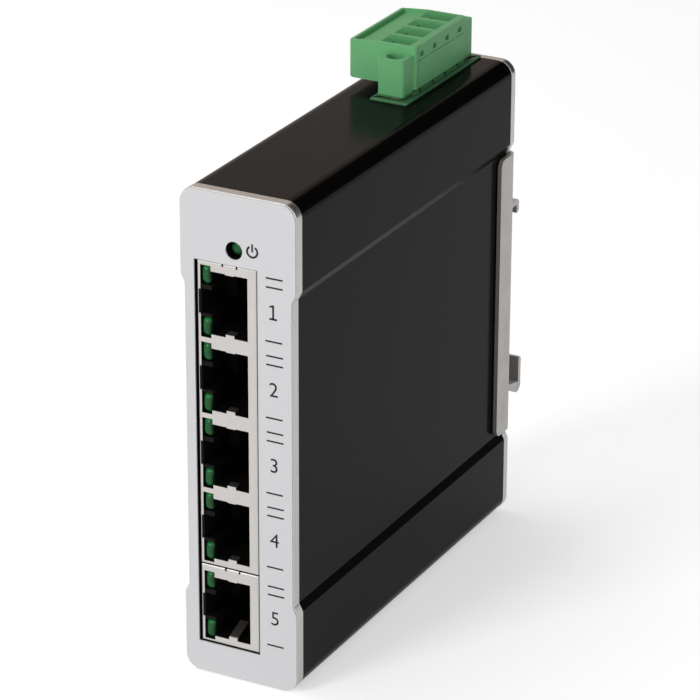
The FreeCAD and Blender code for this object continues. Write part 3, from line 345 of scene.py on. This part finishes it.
def bare_aluminium(colours):
    made = Finish("bare_aluminium")
    brushed = made.grain(2400.0, 4.0, (1.0, 1.0, 0.03))
    pits = made.steps(made.grain(1500.0, 2.0), 0.62, 0.74)
    base = made.blend(shade(colours.plate, 0.86), shade(colours.plate, 1.14), brushed)
    base = made.blend(base, shade(colours.plate, 0.55), pits * 0.5)
    made.bump(brushed * 0.7 - pits * 0.5, 0.01 * MM)
    return made.paint(base_color=base, roughness=0.2 + brushed * 0.1, metallic=0.85)


def plated_steel(colours):
    made = Finish("plated_steel")
    rolled = made.grain(700.0, 4.0, (1.0, 1.0, 0.15))
    spangle = made.grain(260.0, 2.0)
    scuffs = made.steps(made.grain(420.0, 5.0, (1.0, 1.0, 0.3)), 0.6, 0.75)
    edge_wear_and_highlight = made.edges(0.25 * MM)
    # Painted shade: faces that look to the front are darker, as shade close to the case
    front = made.steps(0.0 - made.facing("Y"), 0.5, 0.9)
    base = made.blend(shade(colours.bracket, 0.88), shade(colours.bracket, 1.12), spangle)
    base = made.blend(base, shade(colours.bracket, 0.7), scuffs * 0.35)
    base = made.blend(base, shade(colours.bracket, 1.5), edge_wear_and_highlight * 0.5)
    base = made.blend(base, shade(colours.bracket, 0.5), front)
    made.bump(rolled, 0.012 * MM)
    return made.paint(base_color=base, roughness=0.36 + rolled * 0.14, metallic=0.5)


def tin_plate(colours):
    made = Finish("tin_plate")
    rolled = made.grain(1600.0, 3.0, (1.0, 1.0, 0.08))
    cloud = made.grain(220.0, 3.0)
    turned = 1.0 + made.facing("Y")
    # Painted shade: faces deep behind the front, sooner where they turn from it, go dark as shadow
    # inside the jacks
    depth = made.part_of("Y", made.place) + turned * (0.6 * MM)
    painted_inner_shade = made.steps(depth, FACE_Y + 0.72 * MM, FACE_Y + 1.0 * MM)
    shadowed = (0.05, 0.045, 0.04)
    base = made.blend(shade(colours.tin, 0.94), shade(colours.tin, 1.05), cloud)
    # Painted highlight: faces turned from the front are lighter, as lit bends
    base = made.blend(base, shade(colours.tin, 1.4), made.steps(turned, 0.03, 0.3))
    base = made.blend(base, shadowed, painted_inner_shade)
    made.bump(rolled, 0.008 * MM)
    return made.paint(base_color=base, roughness=0.34 + rolled * 0.16, metallic=0.4)


def bright_screw(colours):
    made = Finish("bright_screw")
    turned = made.grain(3000.0, 3.0, (1.0, 0.2, 1.0))
    cloud = made.grain(500.0)
    base = made.blend((0.46, 0.46, 0.45), (0.62, 0.61, 0.59), cloud)
    made.bump(turned, 0.008 * MM)
    return made.paint(base_color=base, roughness=0.26 + turned * 0.2, metallic=0.8)


def gold_wire(colours):
    made = Finish("gold_wire")
    cloud = made.grain(900.0)
    drawn = made.grain(3000.0, 3.0, (0.05, 0.05, 1.0))
    base = made.blend((0.62, 0.42, 0.14), (0.8, 0.58, 0.24), cloud)
    made.bump(drawn, 0.005 * MM)
    return made.paint(base_color=base, roughness=0.24 + drawn * 0.14, metallic=0.9)


def tinned_pin(colours):
    made = Finish("tinned_pin")
    cloud = made.grain(800.0)
    base = made.blend((0.55, 0.54, 0.52), (0.72, 0.71, 0.68), cloud)
    made.bump(cloud, 0.01 * MM)
    return made.paint(base_color=base, roughness=0.28 + cloud * 0.15, metallic=0.8)


def black_moulding(colours):
    made = Finish("black_moulding", metallic=0.0, specular_ior_level=0.12)
    cloud = made.grain(300.0)
    fine = made.grain(6000.0, 2.0)
    base = made.blend((0.0012, 0.0012, 0.0013), (0.0035, 0.003, 0.003), cloud)
    made.bump(fine, 0.008 * MM)
    return made.paint(base_color=base, roughness=0.5 + fine * 0.15)


def green_lens(colours):
    made = Finish("green_lens", metallic=0.0, coat_roughness=0.04, specular_ior_level=0.04)
    cloud = made.grain(900.0, 2.0)
    depth = made.grain(420.0, 2.0)
    # Painted light and shade: upper faces of the lens are lighter and faces looking right are
    # darker
    painted_top_light = made.steps(made.facing("Z"), 0.1, 0.7)
    painted_side_shade = made.steps(made.facing("X"), 0.3, 0.9)
    base = made.blend(shade(colours.lens, 0.6), shade(colours.lens, 1.25), depth)
    base = made.blend(base, shade(colours.lens, 2.2), painted_top_light * 0.7)
    base = made.blend(base, shade(colours.lens, 0.2), painted_side_shade)
    made.bump(cloud, 0.01 * MM)
    return made.paint(base_color=base, roughness=0.2 + cloud * 0.1, coat_weight=0.4)


def green_moulding(colours):
    made = Finish("green_moulding", metallic=0.0, specular_ior_level=0.3)
    cloud = made.grain(180.0, 3.0)
    fine = made.grain(5200.0, 2.0)
    flow = made.grain(420.0, 2.0, (1.0, 0.25, 1.0))
    # Painted highlight and wear: rounded edges are lighter green, partly as rubbed edges and
    # partly as lit edges
    edge_wear_and_highlight = made.edges(0.3 * MM)
    wear_and_highlight_green = (0.24, 0.54, 0.27)
    # Painted shade: the header under the plug's foot is darker, as shadow under the plug
    above_header_shade = made.steps(made.part_of("Z", made.place), HEADER_TOP, HEADER_TOP + 0.15 * MM)
    base = made.blend(shade(colours.terminal, 0.92), shade(colours.terminal, 1.08), cloud)
    base = made.blend(base, shade(colours.terminal, 0.9), flow * 0.4)
    base = made.blend(shade(colours.terminal, 0.36), base, above_header_shade)
    base = made.blend(base, wear_and_highlight_green, edge_wear_and_highlight * 0.6)
    made.bump(fine * 0.6 + flow * 0.4, 0.012 * MM)
    return made.paint(base_color=base, roughness=0.42 + fine * 0.12)


def board_laminate(colours):
    made = Finish("board_laminate", metallic=0.0, coat_roughness=0.2)
    woven = made.node("ShaderNodeTexWave", {"wave_type": "BANDS", "bands_direction": "Z"},
                      {"Vector": made.place, "Scale": 500.0, "Distortion": 0.6}, "Fac")
    cloud = made.grain(200.0)
    base = made.blend((0.006, 0.07, 0.02), (0.012, 0.12, 0.035), cloud)
    made.bump(woven, 0.01 * MM)
    return made.paint(base_color=base, roughness=0.35 + woven * 0.1, coat_weight=0.3)


def chip_resin(colours):
    made = Finish("chip_resin", metallic=0.0)
    fine = made.grain(4000.0, 3.0)
    base = made.blend((0.012, 0.012, 0.012), (0.026, 0.026, 0.027), fine)
    made.bump(fine, 0.01 * MM)
    return made.paint(base_color=base, roughness=0.45 + fine * 0.2)


def can_metal(colours):
    made = Finish("can_metal")
    drawn = made.grain(2400.0, 3.0, (0.1, 1.0, 1.0))
    base = made.blend((0.5, 0.5, 0.5), (0.68, 0.68, 0.67), drawn)
    made.bump(drawn, 0.01 * MM)
    return made.paint(base_color=base, roughness=0.25 + drawn * 0.2, metallic=0.85)


def print_ink(colours):
    made = Finish("print_ink", metallic=0.0, specular_ior_level=0.12)
    cloud = made.grain(5000.0, 2.0)
    base = made.blend(shade(colours.print_ink, 0.8), shade(colours.print_ink, 1.3), cloud)
    made.bump(cloud, 0.003 * MM)
    return made.paint(base_color=base, roughness=0.45 + cloud * 0.15)


FINISHES = {
    "black_anodised": anodised, "silver_sheet": front_film, "plate_metal": bare_aluminium,
    "rail_steel": plated_steel, "screw_steel": bright_screw, "tin": tin_plate,
    "black_moulding": black_moulding, "gold_contact": gold_wire, "green_lens": green_lens,
    "green_moulding": green_moulding, "pin_metal": tinned_pin, "board_green": board_laminate,
    "chip_black": chip_resin, "can_metal": can_metal, INK: print_ink,
}
made_finishes = {}


def finish_for(slot):
    """The material of a record slot, made once."""
    if slot not in made_finishes:
        made_finishes[slot] = FINISHES[slot](bpy.context.scene.switch_colours)
    return made_finishes[slot]


def slot_of(node):
    """The material slot that the record gives a node."""
    for row in frame["record"]["subparts"]:
        if row["node"] == node:
            return row["material_slot"]
    raise RuntimeError(f"{node} has no material slot")


# ---------------------------------------------------------------- piece building
def linked(name, data):
    """A new object of the scene that shows the given data."""
    made = bpy.data.objects.new(name, data)
    bpy.context.scene.collection.objects.link(made)
    return made


def meshed(name, work):
    """A new mesh object made from a bmesh, which is used up."""
    mesh = bpy.data.meshes.new(name)
    work.to_mesh(mesh)
    work.free()
    return linked(name, mesh)


def shown(name, work, slot, body, replaced=()):
    """Turns a bmesh into a piece that rides on a body and stands for CAD nodes."""
    piece = meshed(name, work)
    mesh = piece.data
    mesh.materials.append(finish_for(slot))
    mesh.shade_smooth()
    mesh.set_sharp_from_angle(angle=SMOOTH_BELOW)
    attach(piece, body)
    if replaced:
        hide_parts(*replaced)
    return piece


def merged_copy(node):
    """A node's mesh with its loose triangles joined into flat faces."""
    work = bmesh.new()
    work.from_mesh(frame["nodes"][node].data)
    bmesh.ops.remove_doubles(work, verts=work.verts, dist=MERGE_WITHIN)
    bmesh.ops.dissolve_limit(work, angle_limit=FLAT_WITHIN, verts=work.verts, edges=work.edges)
    return work


def round_edges(work, width, segments=2, sharp=28.0, keep=None):
    """Bevels the edges that turn by more than sharp degrees and pass the keep test."""
    limit = math.radians(sharp)
    chosen = [edge for edge in work.edges
              if edge.is_manifold and edge.calc_face_angle(0.0) > limit
              and (keep is None or keep(edge))]
    bmesh.ops.bevel(work, geom=chosen, offset=width, offset_type="OFFSET", segments=segments,
                    profile=0.5, affect="EDGES", clamp_overlap=True, material=-1)
    return work


def softened(node, width, body=CASE, segments=2, sharp=28.0):
    """A CAD node with rounded edges, in the finish of its slot."""
    work = round_edges(merged_copy(node), width, segments, sharp)
    return shown(f"{node}_dressed", work, slot_of(node), body, (node,))


def folded_shield(node, sizes):
    """A jack's tin case with rounded outer bends."""
    low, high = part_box(node)

    def on_bend(edge):
        middle = (edge.verts[0].co + edge.verts[1].co) / 2
        at_front = abs(middle.y - low.y) < SAME_PLACE
        at_side = min(abs(middle.x - low.x), abs(middle.x - high.x)) < SAME_PLACE
        at_end = min(abs(middle.z - low.z), abs(middle.z - high.z)) < SAME_PLACE
        return at_front and (at_side or at_end)

    work = round_edges(merged_copy(node), sizes.shield_bend, 4, keep=on_bend)
    return shown(f"{node}_dressed", work, slot_of(node), CASE, (node,))


def dress(*nodes):
    """Gives CAD nodes that keep their shape the material of their slot."""
    for node in nodes:
        mesh = frame["nodes"][node].data
        mesh.materials.clear()
        mesh.materials.append(finish_for(slot_of(node)))


def inked(name, work, middle):
    """Lays a flat shape made around the origin on the front film."""
    thick = bpy.context.scene.switch_sizes.print_thick
    shift = Vector((middle[0], FACE_Y - thick / 2, middle[1]))
    bmesh.ops.translate(work, vec=shift, verts=work.verts)
    bmesh.ops.recalc_face_normals(work, faces=work.faces)
    return shown(name, work, INK, CASE)


def stroke(work, start, end, wide):
    """One straight pen stroke between two points given across and up."""
    thick = bpy.context.scene.switch_sizes.print_thick
    start, end = Vector(start), Vector(end)
    along = end - start
    made = bmesh.ops.create_cube(work, size=1.0)["verts"]
    bmesh.ops.scale(work, vec=(along.length, thick, wide), verts=made)
    turn = Matrix.Rotation(-math.atan2(along.y, along.x), 3, "Y")
    bmesh.ops.rotate(work, verts=made, cent=(0, 0, 0), matrix=turn)
    middle = (start + end) / 2
    bmesh.ops.translate(work, vec=(middle.x, 0.0, middle.y), verts=made)


def numeral_one(name, middle, height):
    """A one with a flag and a foot."""
    half = height / 2
    pen = height * 0.13
    foot = height * 0.26
    foot_level = -half + pen / 2
    flag_tip = (-height * 0.25, half * 0.72)
    flag_root = (pen * 0.2, half - pen * 0.45)
    work = bmesh.new()
    stroke(work, (0.0, -half), (0.0, half), pen)
    stroke(work, (-foot, foot_level), (foot, foot_level), pen)
    stroke(work, flag_tip, flag_root, pen * 0.9)
    return inked(name, work, middle)


def power_sign(name, middle, size):
    """Open ring with an upright stroke in its gap."""
    thick = bpy.context.scene.switch_sizes.print_thick
    pen = size * 0.16
    opening = math.radians(64.0)
    work = bmesh.new()
    made = bmesh.ops.create_grid(work, x_segments=1, y_segments=1, size=0.5)
    bmesh.ops.scale(work, vec=(pen, thick, 1.0), verts=made["verts"])
    bmesh.ops.translate(work, vec=((size - pen) / 2, 0.0, 0.0), verts=made["verts"])
    start = Matrix.Rotation(-(math.pi / 2 + opening / 2), 3, "Y")
    bmesh.ops.rotate(work, verts=work.verts, cent=(0, 0, 0), matrix=start)
    bmesh.ops.spin(work, geom=work.verts[:] + work.edges[:] + work.faces[:], cent=(0, 0, 0),
                   axis=(0, -1, 0), dvec=(0, 0, 0), angle=2 * math.pi - opening, steps=40,
                   use_merge=False, use_duplicate=False)
    stroke_low, stroke_high = -size * 0.02, size * 0.6
    stroke(work, (0.0, stroke_low), (0.0, stroke_high), pen * 0.9)
    return inked(name, work, middle)


def label_bars(name, middle, rows):
    """Short plain bars beside a lamp."""
    work = bmesh.new()
    for row in range(rows):
        up = ((rows - 1) / 2 - row) * BAR_PITCH
        stroke(work, (-BAR_HALF, up), (BAR_HALF, up), BAR_PEN)
    return inked(name, work, middle)


def written(name, text, middle, height):
    """A flat numeral on the front film, centred on a point given across and up."""
    curve = bpy.data.curves.new(name, "FONT")
    curve.body = text
    curve.size = height / CAPITAL_SHARE
    curve.align_x = "CENTER"
    curve.extrude = bpy.context.scene.switch_sizes.print_thick / 2
    maker = linked(name, curve)
    mesh = bpy.data.meshes.new_from_object(maker)
    bpy.data.objects.remove(maker)
    work = bmesh.new()
    work.from_mesh(mesh)
    bpy.data.meshes.remove(mesh)
    bmesh.ops.remove_doubles(work, verts=work.verts, dist=0.0001 * MM)
    bmesh.ops.rotate(work, verts=work.verts, cent=(0, 0, 0), matrix=UPRIGHT)
    xs = [vert.co.x for vert in work.verts]
    zs = [vert.co.z for vert in work.verts]
    inset = bpy.context.scene.switch_sizes.print_thick / 2
    shift = (middle[0] - (min(xs) + max(xs)) / 2, FACE_Y - inset,
             middle[1] - (min(zs) + max(zs)) / 2)
    bmesh.ops.translate(work, vec=shift, verts=work.verts)
    return shown(name, work, INK, CASE)


def second_finish(piece, slot, chosen):
    """Gives another finish to the faces that pass a test."""
    piece.data.materials.append(finish_for(slot))
    for face in piece.data.polygons:
        if chosen(face):
            face.material_index = 1


def blacken_window(plate):
    """Paints shade on the walls of the jack window and of the lamp hole by giving them the black
    finish.
    """
    left, right = GANG_LOW.x - WINDOW_MARGIN, GANG_HIGH.x + WINDOW_MARGIN
    low, high = SINGLE_LOW.z - WINDOW_MARGIN, GANG_HIGH.z + WINDOW_MARGIN

    def on_wall(face):
        inside = left < face.center.x < right and low < face.center.z < high
        beside_lamp = (face.center - LAMP_MIDDLE).xz.length < LAMP_HOLE
        sideways = abs(face.normal.y) < 0.98
        return (inside or beside_lamp) and sideways

    second_finish(plate, "black_moulding", on_wall)


def loose_parts(work):
    """The vertices of each separate solid in a mesh."""
    left = set(work.verts)
    parts = []
    while left:
        waiting = [left.pop()]
        part = []
        while waiting:
            vert = waiting.pop()
            part.append(vert)
            for edge in vert.link_edges:
                other = edge.other_vert(vert)
                if other in left:
                    left.remove(other)
                    waiting.append(other)
        parts.append(part)
    return parts


def domed(work, front, sag):
    """Bends the nose of each lens back towards its upper and lower ends."""
    for part in loose_parts(work):
        heights = [vert.co.z for vert in part]
        middle, half = (max(heights) + min(heights)) / 2, (max(heights) - min(heights)) / 2
        faces = {face for vert in part for face in vert.link_faces}
        edges = {edge for vert in part for edge in vert.link_edges}
        geometry = part + list(edges) + list(faces)
        for step in range(-DOME_CUTS, DOME_CUTS + 1):
            level = middle + half * DOME_SPAN * step / DOME_CUTS
            cut = bmesh.ops.bisect_plane(work, geom=geometry, dist=1e-7, plane_no=(0, 0, 1),
                                         plane_co=(0, 0, level))
            geometry = cut["geom"]
        for vert in [item for item in geometry if isinstance(item, bmesh.types.BMVert)]:
            share = max(0.0, 1.0 - (vert.co.y - front) / DOME_DEEP)
            vert.co.y += sag * share * ((vert.co.z - middle) / half) ** 2


def lens_block(node, sizes):
    """Lamp lenses whose domed noses are clear and whose bodies are screened."""
    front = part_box(node)[0].y
    work = round_edges(merged_copy(node), sizes.lens_round, 8)
    domed(work, front, sizes.lens_dome)
    piece = shown(f"{node}_dressed", work, slot_of(node), CASE, (node,))
    second_finish(piece, "black_moulding", lambda face: face.center.y > front + CLEAR_DEEP)


# ---------------------------------------------------------------- operators
class PieceOperator(Operator):
    """Shared settings of the piece operators"""
    bl_options = {"REGISTER", "UNDO"}


class SWITCH_OT_case(PieceOperator):
    """Case extrusion in black anodised aluminium"""
    bl_idname = "switch.case"
    bl_label = "Case"

    def execute(self, context):
        dress("housing")
        return {"FINISHED"}


class SWITCH_OT_plates(PieceOperator):
    """Both end plates, the front film and the case screws"""
    bl_idname = "switch.plates"
    bl_label = "End plates"

    def execute(self, context):
        sizes = context.scene.switch_sizes
        plate = softened("front_plate", sizes.plate_round)
        blacken_window(plate)
        softened("rear_plate", sizes.plate_round)
        dress("front_sheet", "case_screws")
        return {"FINISHED"}


class SWITCH_OT_prints(PieceOperator):
    """Port numbers, power sign and the marks beside the lamps"""
    bl_idname = "switch.prints"
    bl_label = "Prints"

    def execute(self, context):
        tall = context.scene.switch_sizes.numeral
        levels = [GANG_HIGH.z - FIRST_NUMERAL_DOWN - PORT_PITCH * row
                  for row in range(PORTS_IN_GANG)]
        levels.append(SINGLE_LOW.z + LAST_NUMERAL_UP)
        numeral_one("number_1", (NUMERAL_X, levels[0]), tall)
        for number, z in enumerate(levels[1:], start=2):
            written(f"number_{number}", str(number), (NUMERAL_X, z), tall)
        power_sign("power_sign", (POWER_SIGN_X, LAMP_MIDDLE.z + POWER_SIGN_UP), POWER_SIGN_SIZE)
        for number, z in enumerate(levels, start=1):
            label_bars(f"upper_bars_{number}", (UPPER_BARS_X, z + BARS_FROM_NUMERAL), 2)
            label_bars(f"lower_bars_{number}", (LOWER_BARS_X, z - BARS_FROM_NUMERAL), 1)
        return {"FINISHED"}


class SWITCH_OT_bracket(PieceOperator):
    """Rail bracket and its rivets"""
    bl_idname = "switch.bracket"
    bl_label = "Rail bracket"

    def execute(self, context):
        softened("rail_bracket", context.scene.switch_sizes.bracket_round)
        dress("bracket_rivets")
        return {"FINISHED"}


class SWITCH_OT_jacks(PieceOperator):
    """Jack shields, inserts and spring wires"""
    bl_idname = "switch.jacks"
    bl_label = "Jacks"

    def execute(self, context):
        sizes = context.scene.switch_sizes
        for jack in ("gang_jack", "single_jack"):
            folded_shield(f"{jack}_shield", sizes)
            dress(f"{jack}_insert", f"{jack}_contacts")
        return {"FINISHED"}


class SWITCH_OT_lamps(PieceOperator):
    """Lamp lenses in the jacks and the power lamp"""
    bl_idname = "switch.lamps"
    bl_label = "Lamps"

    def execute(self, context):
        sizes = context.scene.switch_sizes
        for lamps in ("gang_jack_lamps", "single_jack_lamps"):
            lens_block(lamps, sizes)
        softened("power_lamp", sizes.lens_round, segments=8, sharp=20.0)
        dress("power_lamp_spacer")
        return {"FINISHED"}


class SWITCH_OT_terminal(PieceOperator):
    """Supply header and its plug with screws and clamps"""
    bl_idname = "switch.terminal"
    bl_label = "Supply terminal"

    def execute(self, context):
        sizes = context.scene.switch_sizes
        softened("supply_plug", sizes.moulding_round, PLUG)
        softened("supply_header", sizes.moulding_round)
        dress("header_pins", "flange_nuts", "clamp_screws", "clamp_cages", "pin_sockets",
              "flange_screws")
        return {"FINISHED"}


class SWITCH_OT_board(PieceOperator):
    """Circuit board and the parts on it"""
    bl_idname = "switch.board"
    bl_label = "Circuit board"

    def execute(self, context):
        dress("circuit_board", "switch_chip", "magnetics", "crystal", "capacitor", "inductor",
              "regulator")
        return {"FINISHED"}


# ---------------------------------------------------------------- stage
def soft_light(name, place, size, power, reflected):
    """Rectangular lamp that points at the middle of the switch."""
    lamp = bpy.data.lights.new(name, "AREA")
    lamp.shape = "RECTANGLE"
    lamp.size, lamp.size_y = size
    lamp.energy = power
    holder = linked(name, lamp)
    holder.location = place
    aim = Vector(LIGHT_TARGET) - Vector(place)
    holder.rotation_euler = aim.to_track_quat("-Z", "Y").to_euler()
    holder.visible_camera = False
    holder.visible_glossy = reflected


def plain_surface(name, mesh):
    """Gives a mesh a material of its own and returns its tree and surface shader."""
    material = bpy.data.materials.new(name)
    material.use_nodes = True
    mesh.materials.append(material)
    return material.node_tree, material.node_tree.nodes["Principled BSDF"]


def flag(name, middle, size, glow):
    """Board that only shows in reflections, as studios use to darken an edge."""
    work = bmesh.new()
    bmesh.ops.create_grid(work, x_segments=1, y_segments=1, size=0.5)
    bmesh.ops.scale(work, vec=(size[0], size[1], 1.0), verts=work.verts)
    bmesh.ops.rotate(work, verts=work.verts, cent=(0, 0, 0), matrix=UPRIGHT)
    bmesh.ops.translate(work, vec=middle, verts=work.verts)
    board = meshed(name, work)
    surface = plain_surface(name, board.data)[1]
    surface.inputs["Base Color"].default_value = (0.0, 0.0, 0.0, 1.0)
    surface.inputs["Specular IOR Level"].default_value = 0.0
    surface.inputs["Emission Color"].default_value = (*glow, 1.0)
    surface.inputs["Emission Strength"].default_value = 1.0
    board.visible_camera = False
    board.visible_diffuse = False
    board.visible_shadow = False
    board.visible_transmission = False


def white_where_seen(tree, dim, bright=1.0):
    """A strength that is bright to the camera and in reflections, dim as light."""
    path = tree.nodes.new("ShaderNodeLightPath")
    seen = path.outputs["Is Camera Ray"]
    for kind in ("Is Glossy Ray", "Is Transmission Ray"):
        either = tree.nodes.new("ShaderNodeMath")
        either.operation = "MAXIMUM"
        tree.links.new(seen, either.inputs[0])
        tree.links.new(path.outputs[kind], either.inputs[1])
        seen = either.outputs[0]
    level = tree.nodes.new("ShaderNodeMapRange")
    level.inputs["To Min"].default_value = dim
    level.inputs["To Max"].default_value = bright
    tree.links.new(seen, level.inputs["Value"])
    return level.outputs["Result"]


def pale_room(scene):
    """White surroundings that light the switch only a little."""
    world = bpy.data.worlds.new("pale_room")
    world.use_nodes = True
    scene.world = world
    tree = world.node_tree
    back = tree.nodes["Background"]
    back.inputs["Color"].default_value = (1.0, 1.0, 1.0, 1.0)
    tree.links.new(white_where_seen(tree, ROOM_LIGHT), back.inputs["Strength"])


def pale_floor():
    """Wide matt floor just under the case."""
    work = bmesh.new()
    bmesh.ops.create_grid(work, x_segments=1, y_segments=1, size=FLOOR_HALF)
    floor = meshed("floor", work)
    floor.location.z = CAD_LOW.z - FLOOR_DROP
    tree, surface = plain_surface("pale_floor", floor.data)
    surface.inputs["Base Color"].default_value = (0.86, 0.86, 0.86, 1.0)
    surface.inputs["Roughness"].default_value = 0.9
    surface.inputs["Emission Color"].default_value = (1.0, 1.0, 1.0, 1.0)
    glow = white_where_seen(tree, 0.0, FLOOR_GLOW)
    tree.links.new(glow, surface.inputs["Emission Strength"])


def stage_camera(scene, look):
    """Camera that looks down on the front and the right side."""
    camera = bpy.data.cameras.new("camera")
    camera.lens = look.lens
    camera.clip_start = 0.01
    holder = linked("camera", camera)
    turn = (Matrix.Rotation(look.azimuth, 3, "Z")
            @ Matrix.Rotation(math.pi / 2 - look.elevation, 3, "X")
            @ Matrix.Rotation(look.roll, 3, "Z"))
    holder.rotation_euler = turn.to_euler()
    holder.location = Vector(look.aim) + turn @ Vector((0.0, 0.0, look.distance))
    scene.camera = holder


class SWITCH_OT_stage(PieceOperator):
    """Floor, soft lights, pale surroundings and the camera"""
    bl_idname = "switch.stage"
    bl_label = "Stage"

    def execute(self, context):
        scene = context.scene
        scene.view_settings.view_transform = "Standard"
        pale_room(scene)
        pale_floor()
        for board in BOARDS:
            flag(*board)
        for light in SOFT_LIGHTS:
            soft_light(*light)
        stage_camera(scene, scene.switch_view)
        return {"FINISHED"}


class SWITCH_PT_pieces(Panel):
    """Lists the pieces of the switch"""
    bl_idname = "SWITCH_PT_pieces"
    bl_label = "Network Switch"
    bl_space_type = "VIEW_3D"
    bl_region_type = "UI"
    bl_category = "Switch"

    def draw(self, context):
        column = self.layout.column(align=True)
        for operator in OPERATORS:
            column.operator(operator.bl_idname)
        for group in GROUPS:
            box = self.layout.box()
            settings = getattr(context.scene, group)
            for setting in settings.__annotations__:
                box.prop(settings, setting)


OPERATORS = (
    SWITCH_OT_case, SWITCH_OT_plates, SWITCH_OT_prints, SWITCH_OT_bracket, SWITCH_OT_jacks,
    SWITCH_OT_lamps, SWITCH_OT_terminal, SWITCH_OT_board, SWITCH_OT_stage,
)
GROUPS = {
    "switch_colours": SwitchColours, "switch_sizes": SwitchSizes, "switch_view": SwitchView,
}
CLASSES = (*GROUPS.values(), *OPERATORS, SWITCH_PT_pieces)


def register():
    for item in CLASSES:
        bpy.utils.register_class(item)
    for name, group in GROUPS.items():
        setattr(bpy.types.Scene, name, PointerProperty(type=group))


def unregister():
    for name in GROUPS:
        delattr(bpy.types.Scene, name)
    for item in reversed(CLASSES):
        bpy.utils.unregister_class(item)


def main():
    register()
    for operator in OPERATORS:
        group, name = operator.bl_idname.split(".")
        getattr(getattr(bpy.ops, group), name)()


if __name__ == "__main__":
    main()
